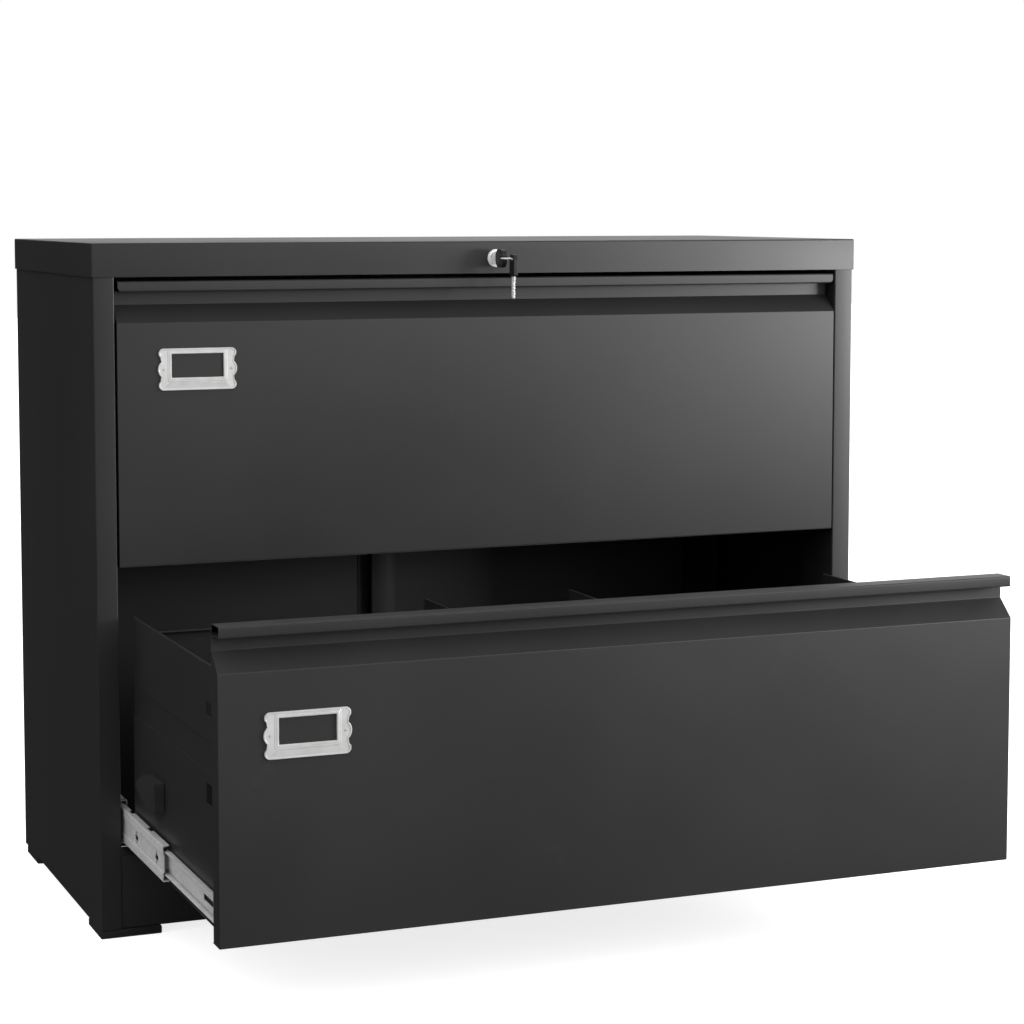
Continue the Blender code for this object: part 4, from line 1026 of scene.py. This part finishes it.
def keys():
    """The key in the lock, the spare key that hangs from it, and their ring."""
    (y0, y1), (z0, z1) = span("key_head")[1:]
    middle = (z0 + z1) / 2
    start, end = KEY_NARROWING
    places = ((y0, z0), (y1 - start, z0), (y1 - end, middle - KEY_NECK), (y1, middle - KEY_NECK))
    lower = [(*place, radius) for place, radius in zip(places, KEY_ROUNDS)]
    upper = [(y, z0 + z1 - z, radius) for y, z, radius in lower[::-1]]
    key_head("key_head", "lock_barrel", lower + upper, (y0 + KEY_HOLE_INSET, middle))

    (y0, y1), (z0, z1) = span("spare_key_head")[1:]
    centre = (y0 + y1) / 2
    half, drop = SPARE_SHOULDER
    places = [(y1, z1 - drop), (centre + half, z1), (centre - half, z1), (y0, z1 - drop)]
    corners = [(y0, z0, SPARE_FOOT_ROUND), (y1, z0, SPARE_FOOT_ROUND)]
    corners += [(*place, SPARE_ROUND) for place in places]
    key_head("spare_key_head", "spare_key", corners, (centre, sum(span("key_ring")[2]) / 2))
    spare_blade(centre, z0 - SEAM)
    key_ring()


def spare_blade(centre, top):
    """A flat blade with its bitting cut along the front edge and a milled groove on each face."""
    thick, wide, long = SPARE_BLADE
    x = sum(span("spare_key_head")[0]) / 2
    front, back = centre - wide / 2, centre + wide / 2
    start, share = SPARE_BITTING
    pitch = long * share / len(SPARE_CUTS)
    outline = [(back, top), (front, top), (front, top - long * start)]
    for k, depth in enumerate(SPARE_CUTS):
        z = top - long * start - pitch * k
        outline += [(front + depth, z - pitch * part) for part in SPARE_FLAT]
        outline.append((front, z - pitch))
    outline += [(centre, top - long), (back, top - long + SPARE_TIP)]
    shape = prism(outline, "X", x - thick / 2, x + thick / 2)
    blade = piece("spare_key_blade", shape, "bright_plating", "spare_key")
    low, high, depth = SPARE_GROOVE
    for way in (-1, 1):
        xs = sorted((x + way * (thick / 2 - depth), x + way * thick))
        carve(blade, block((xs[0], centre + low, top - long - SHEET), (xs[1], centre + high, top + SHEET)))
    bevelled(blade, SPARE_EDGE)


def key_ring():
    """A split ring: two close turns of wire, pressed flat against each other."""
    centre = Vector([(low + high) / 2 for low, high in span("key_ring")])
    shape = bmesh.new()
    rings = []
    for k in range(RING_STEPS + 1):
        turn = 2 * pi * RING_TURNS * k / RING_STEPS - pi / 2
        out = Vector((cos(turn), sin(turn), 0))
        rise = Vector((0, 0, (k / RING_STEPS - 0.5) * RING_RISE * RING_WIRE))
        path = centre + out * RING_RADIUS + rise
        wire = [2 * pi * j / WIRE_SIDES for j in range(WIRE_SIDES)]
        offsets = [(out * cos(around) + Vector((0, 0, sin(around)))) * RING_WIRE for around in wire]
        rings.append([shape.verts.new(path + offset) for offset in offsets])
    shape.faces.new(rings[0])
    shape.faces.new(rings[-1][::-1])
    for first, second in pairwise(rings):
        for j in range(WIRE_SIDES):
            i = (j + 1) % WIRE_SIDES
            shape.faces.new((first[j], second[j], second[i], first[i]))
    piece("key_ring_split", shape, "bright_plating", "key_loop", ["key_ring"])


# --- Remaining pieces ------------------------------------------------------------------------------------


def softened(node, width):
    """A node's own shape with its flat faces whole and its sharp edges rounded."""
    body = next(name for name, held in frame["record"]["behaviour"]["bodies"].items() if node in held)
    slot = next(part["material_slot"] for part in frame["record"]["subparts"] if part["node"] == node)
    shape = bmesh.new()
    shape.from_mesh(frame["nodes"][node].data)
    bmesh.ops.remove_doubles(shape, verts=shape.verts, dist=1e-6)
    bmesh.ops.dissolve_limit(shape, angle_limit=radians(0.5), verts=shape.verts, edges=shape.edges)
    bevelled(piece(f"{node}_finished", shape, slot, body, [node]), width)


def finish_frame():
    """Each node of the frame takes the finish of its material slot."""
    for part in frame["record"]["subparts"]:
        node = frame["nodes"][part["node"]]
        node.data.materials.clear()
        node.data.materials.append(FINISHES[part["material_slot"]])


# --- Stage -----------------------------------------------------------------------------------------------


def stage():
    """A pale floor, and a white room that matt and glossy surfaces see as a softly lit studio."""
    bpy.ops.mesh.primitive_plane_add(size=STAGE_SIZE, location=(0, 0, 0))
    floor = bpy.context.object
    floor.name = "floor"
    floor.visible_glossy = False
    surface = Finish("pale floor", Roughness=0.75)
    clouds = surface.noise(surface.add("ShaderNodeTexCoord").outputs["Object"], 1.5, 3.0)
    surface.shader.inputs["Emission Color"].default_value = grey(1.0)
    seen = surface.add("ShaderNodeLightPath").outputs["Is Camera Ray"]
    glow = surface.maths("MULTIPLY", seen, FLOOR_GLOW)
    surface.tree.links.new(glow, surface.shader.inputs["Emission Strength"])
    floor.data.materials.append(surface.shade(surface.mix(clouds, *map(grey, FLOOR_TONES))))

    world = bpy.data.worlds.new("studio")
    bpy.context.scene.world = world
    world.use_nodes = True
    graph = Graph(world.node_tree)
    way = graph.add("ShaderNodeTexCoord").outputs["Generated"]
    parts = graph.add("ShaderNodeSeparateXYZ", {"Vector": way}).outputs
    ahead = graph.maths("MULTIPLY", graph.remap(parts["X"], *BRIGHT_X), graph.remap(parts["Z"], *BRIGHT_Z))
    behind = graph.maths("MULTIPLY", graph.remap(parts["X"], *BEHIND_X), graph.remap(parts["Y"], *BEHIND_Y))
    ahead = graph.maths("MULTIPLY", ahead, ROOM_BRIGHT)
    behind = graph.maths("MULTIPLY", behind, ROOM_BEHIND)
    walls = graph.mix(graph.maths("MAXIMUM", ahead, behind), grey(ROOM_DARK), grey(1.0))
    ray = graph.add("ShaderNodeLightPath").outputs
    ceiling = graph.mix(graph.remap(parts["Z"], 0.0, CEILING_HEIGHT), grey(ROOM_SIDES), grey(ROOM_CEILING))
    seen = graph.mix(ray["Is Camera Ray"], ceiling, grey(ROOM_WHITE))
    sky = graph.mix(ray["Is Glossy Ray"], seen, walls)
    world.node_tree.links.new(sky, world.node_tree.nodes["Background"].inputs["Color"])


def softbox(name, place, target, size, power):
    """A rectangular light that faces a point."""
    light = bpy.data.lights.new(name, "AREA")
    light.shape = "RECTANGLE"
    light.size, light.size_y = size
    light.energy = power
    made = bpy.data.objects.new(name, light)
    made.location = place
    made.rotation_euler = (Vector(target) - Vector(place)).to_track_quat("-Z", "Y").to_euler()
    bpy.context.scene.collection.objects.link(made)


def camera():
    made = bpy.data.objects.new("camera", bpy.data.cameras.new("camera"))
    made.location = CAMERA_PLACE
    made.rotation_euler = (pi / 2 + CAMERA_PITCH, 0, -CAMERA_YAW)
    made.data.lens = CAMERA_LENS
    made.data.sensor_width = CAMERA_SENSOR
    made.data.shift_y = CAMERA_SHIFT_Y
    bpy.context.scene.collection.objects.link(made)
    bpy.context.scene.camera = made


finish_frame()
camera()
stage()
for drawer in DRAWERS:
    drawer_front(drawer)
    label_frame(drawer)
    for hand in HANDS:
        drawer_side(drawer, hand)
        slide(drawer, hand)
top_cover()
side_panel("left")
side_panel("right")
plinth_rail()
back_panel()
welds()
lock()
keys()
for node, width in SOFTENED.items():
    softened(node, width)
softbox("key light", *KEY_LIGHT)
softbox("fill light", *FILL_LIGHT)
bpy.context.scene.view_settings.view_transform = "Standard"
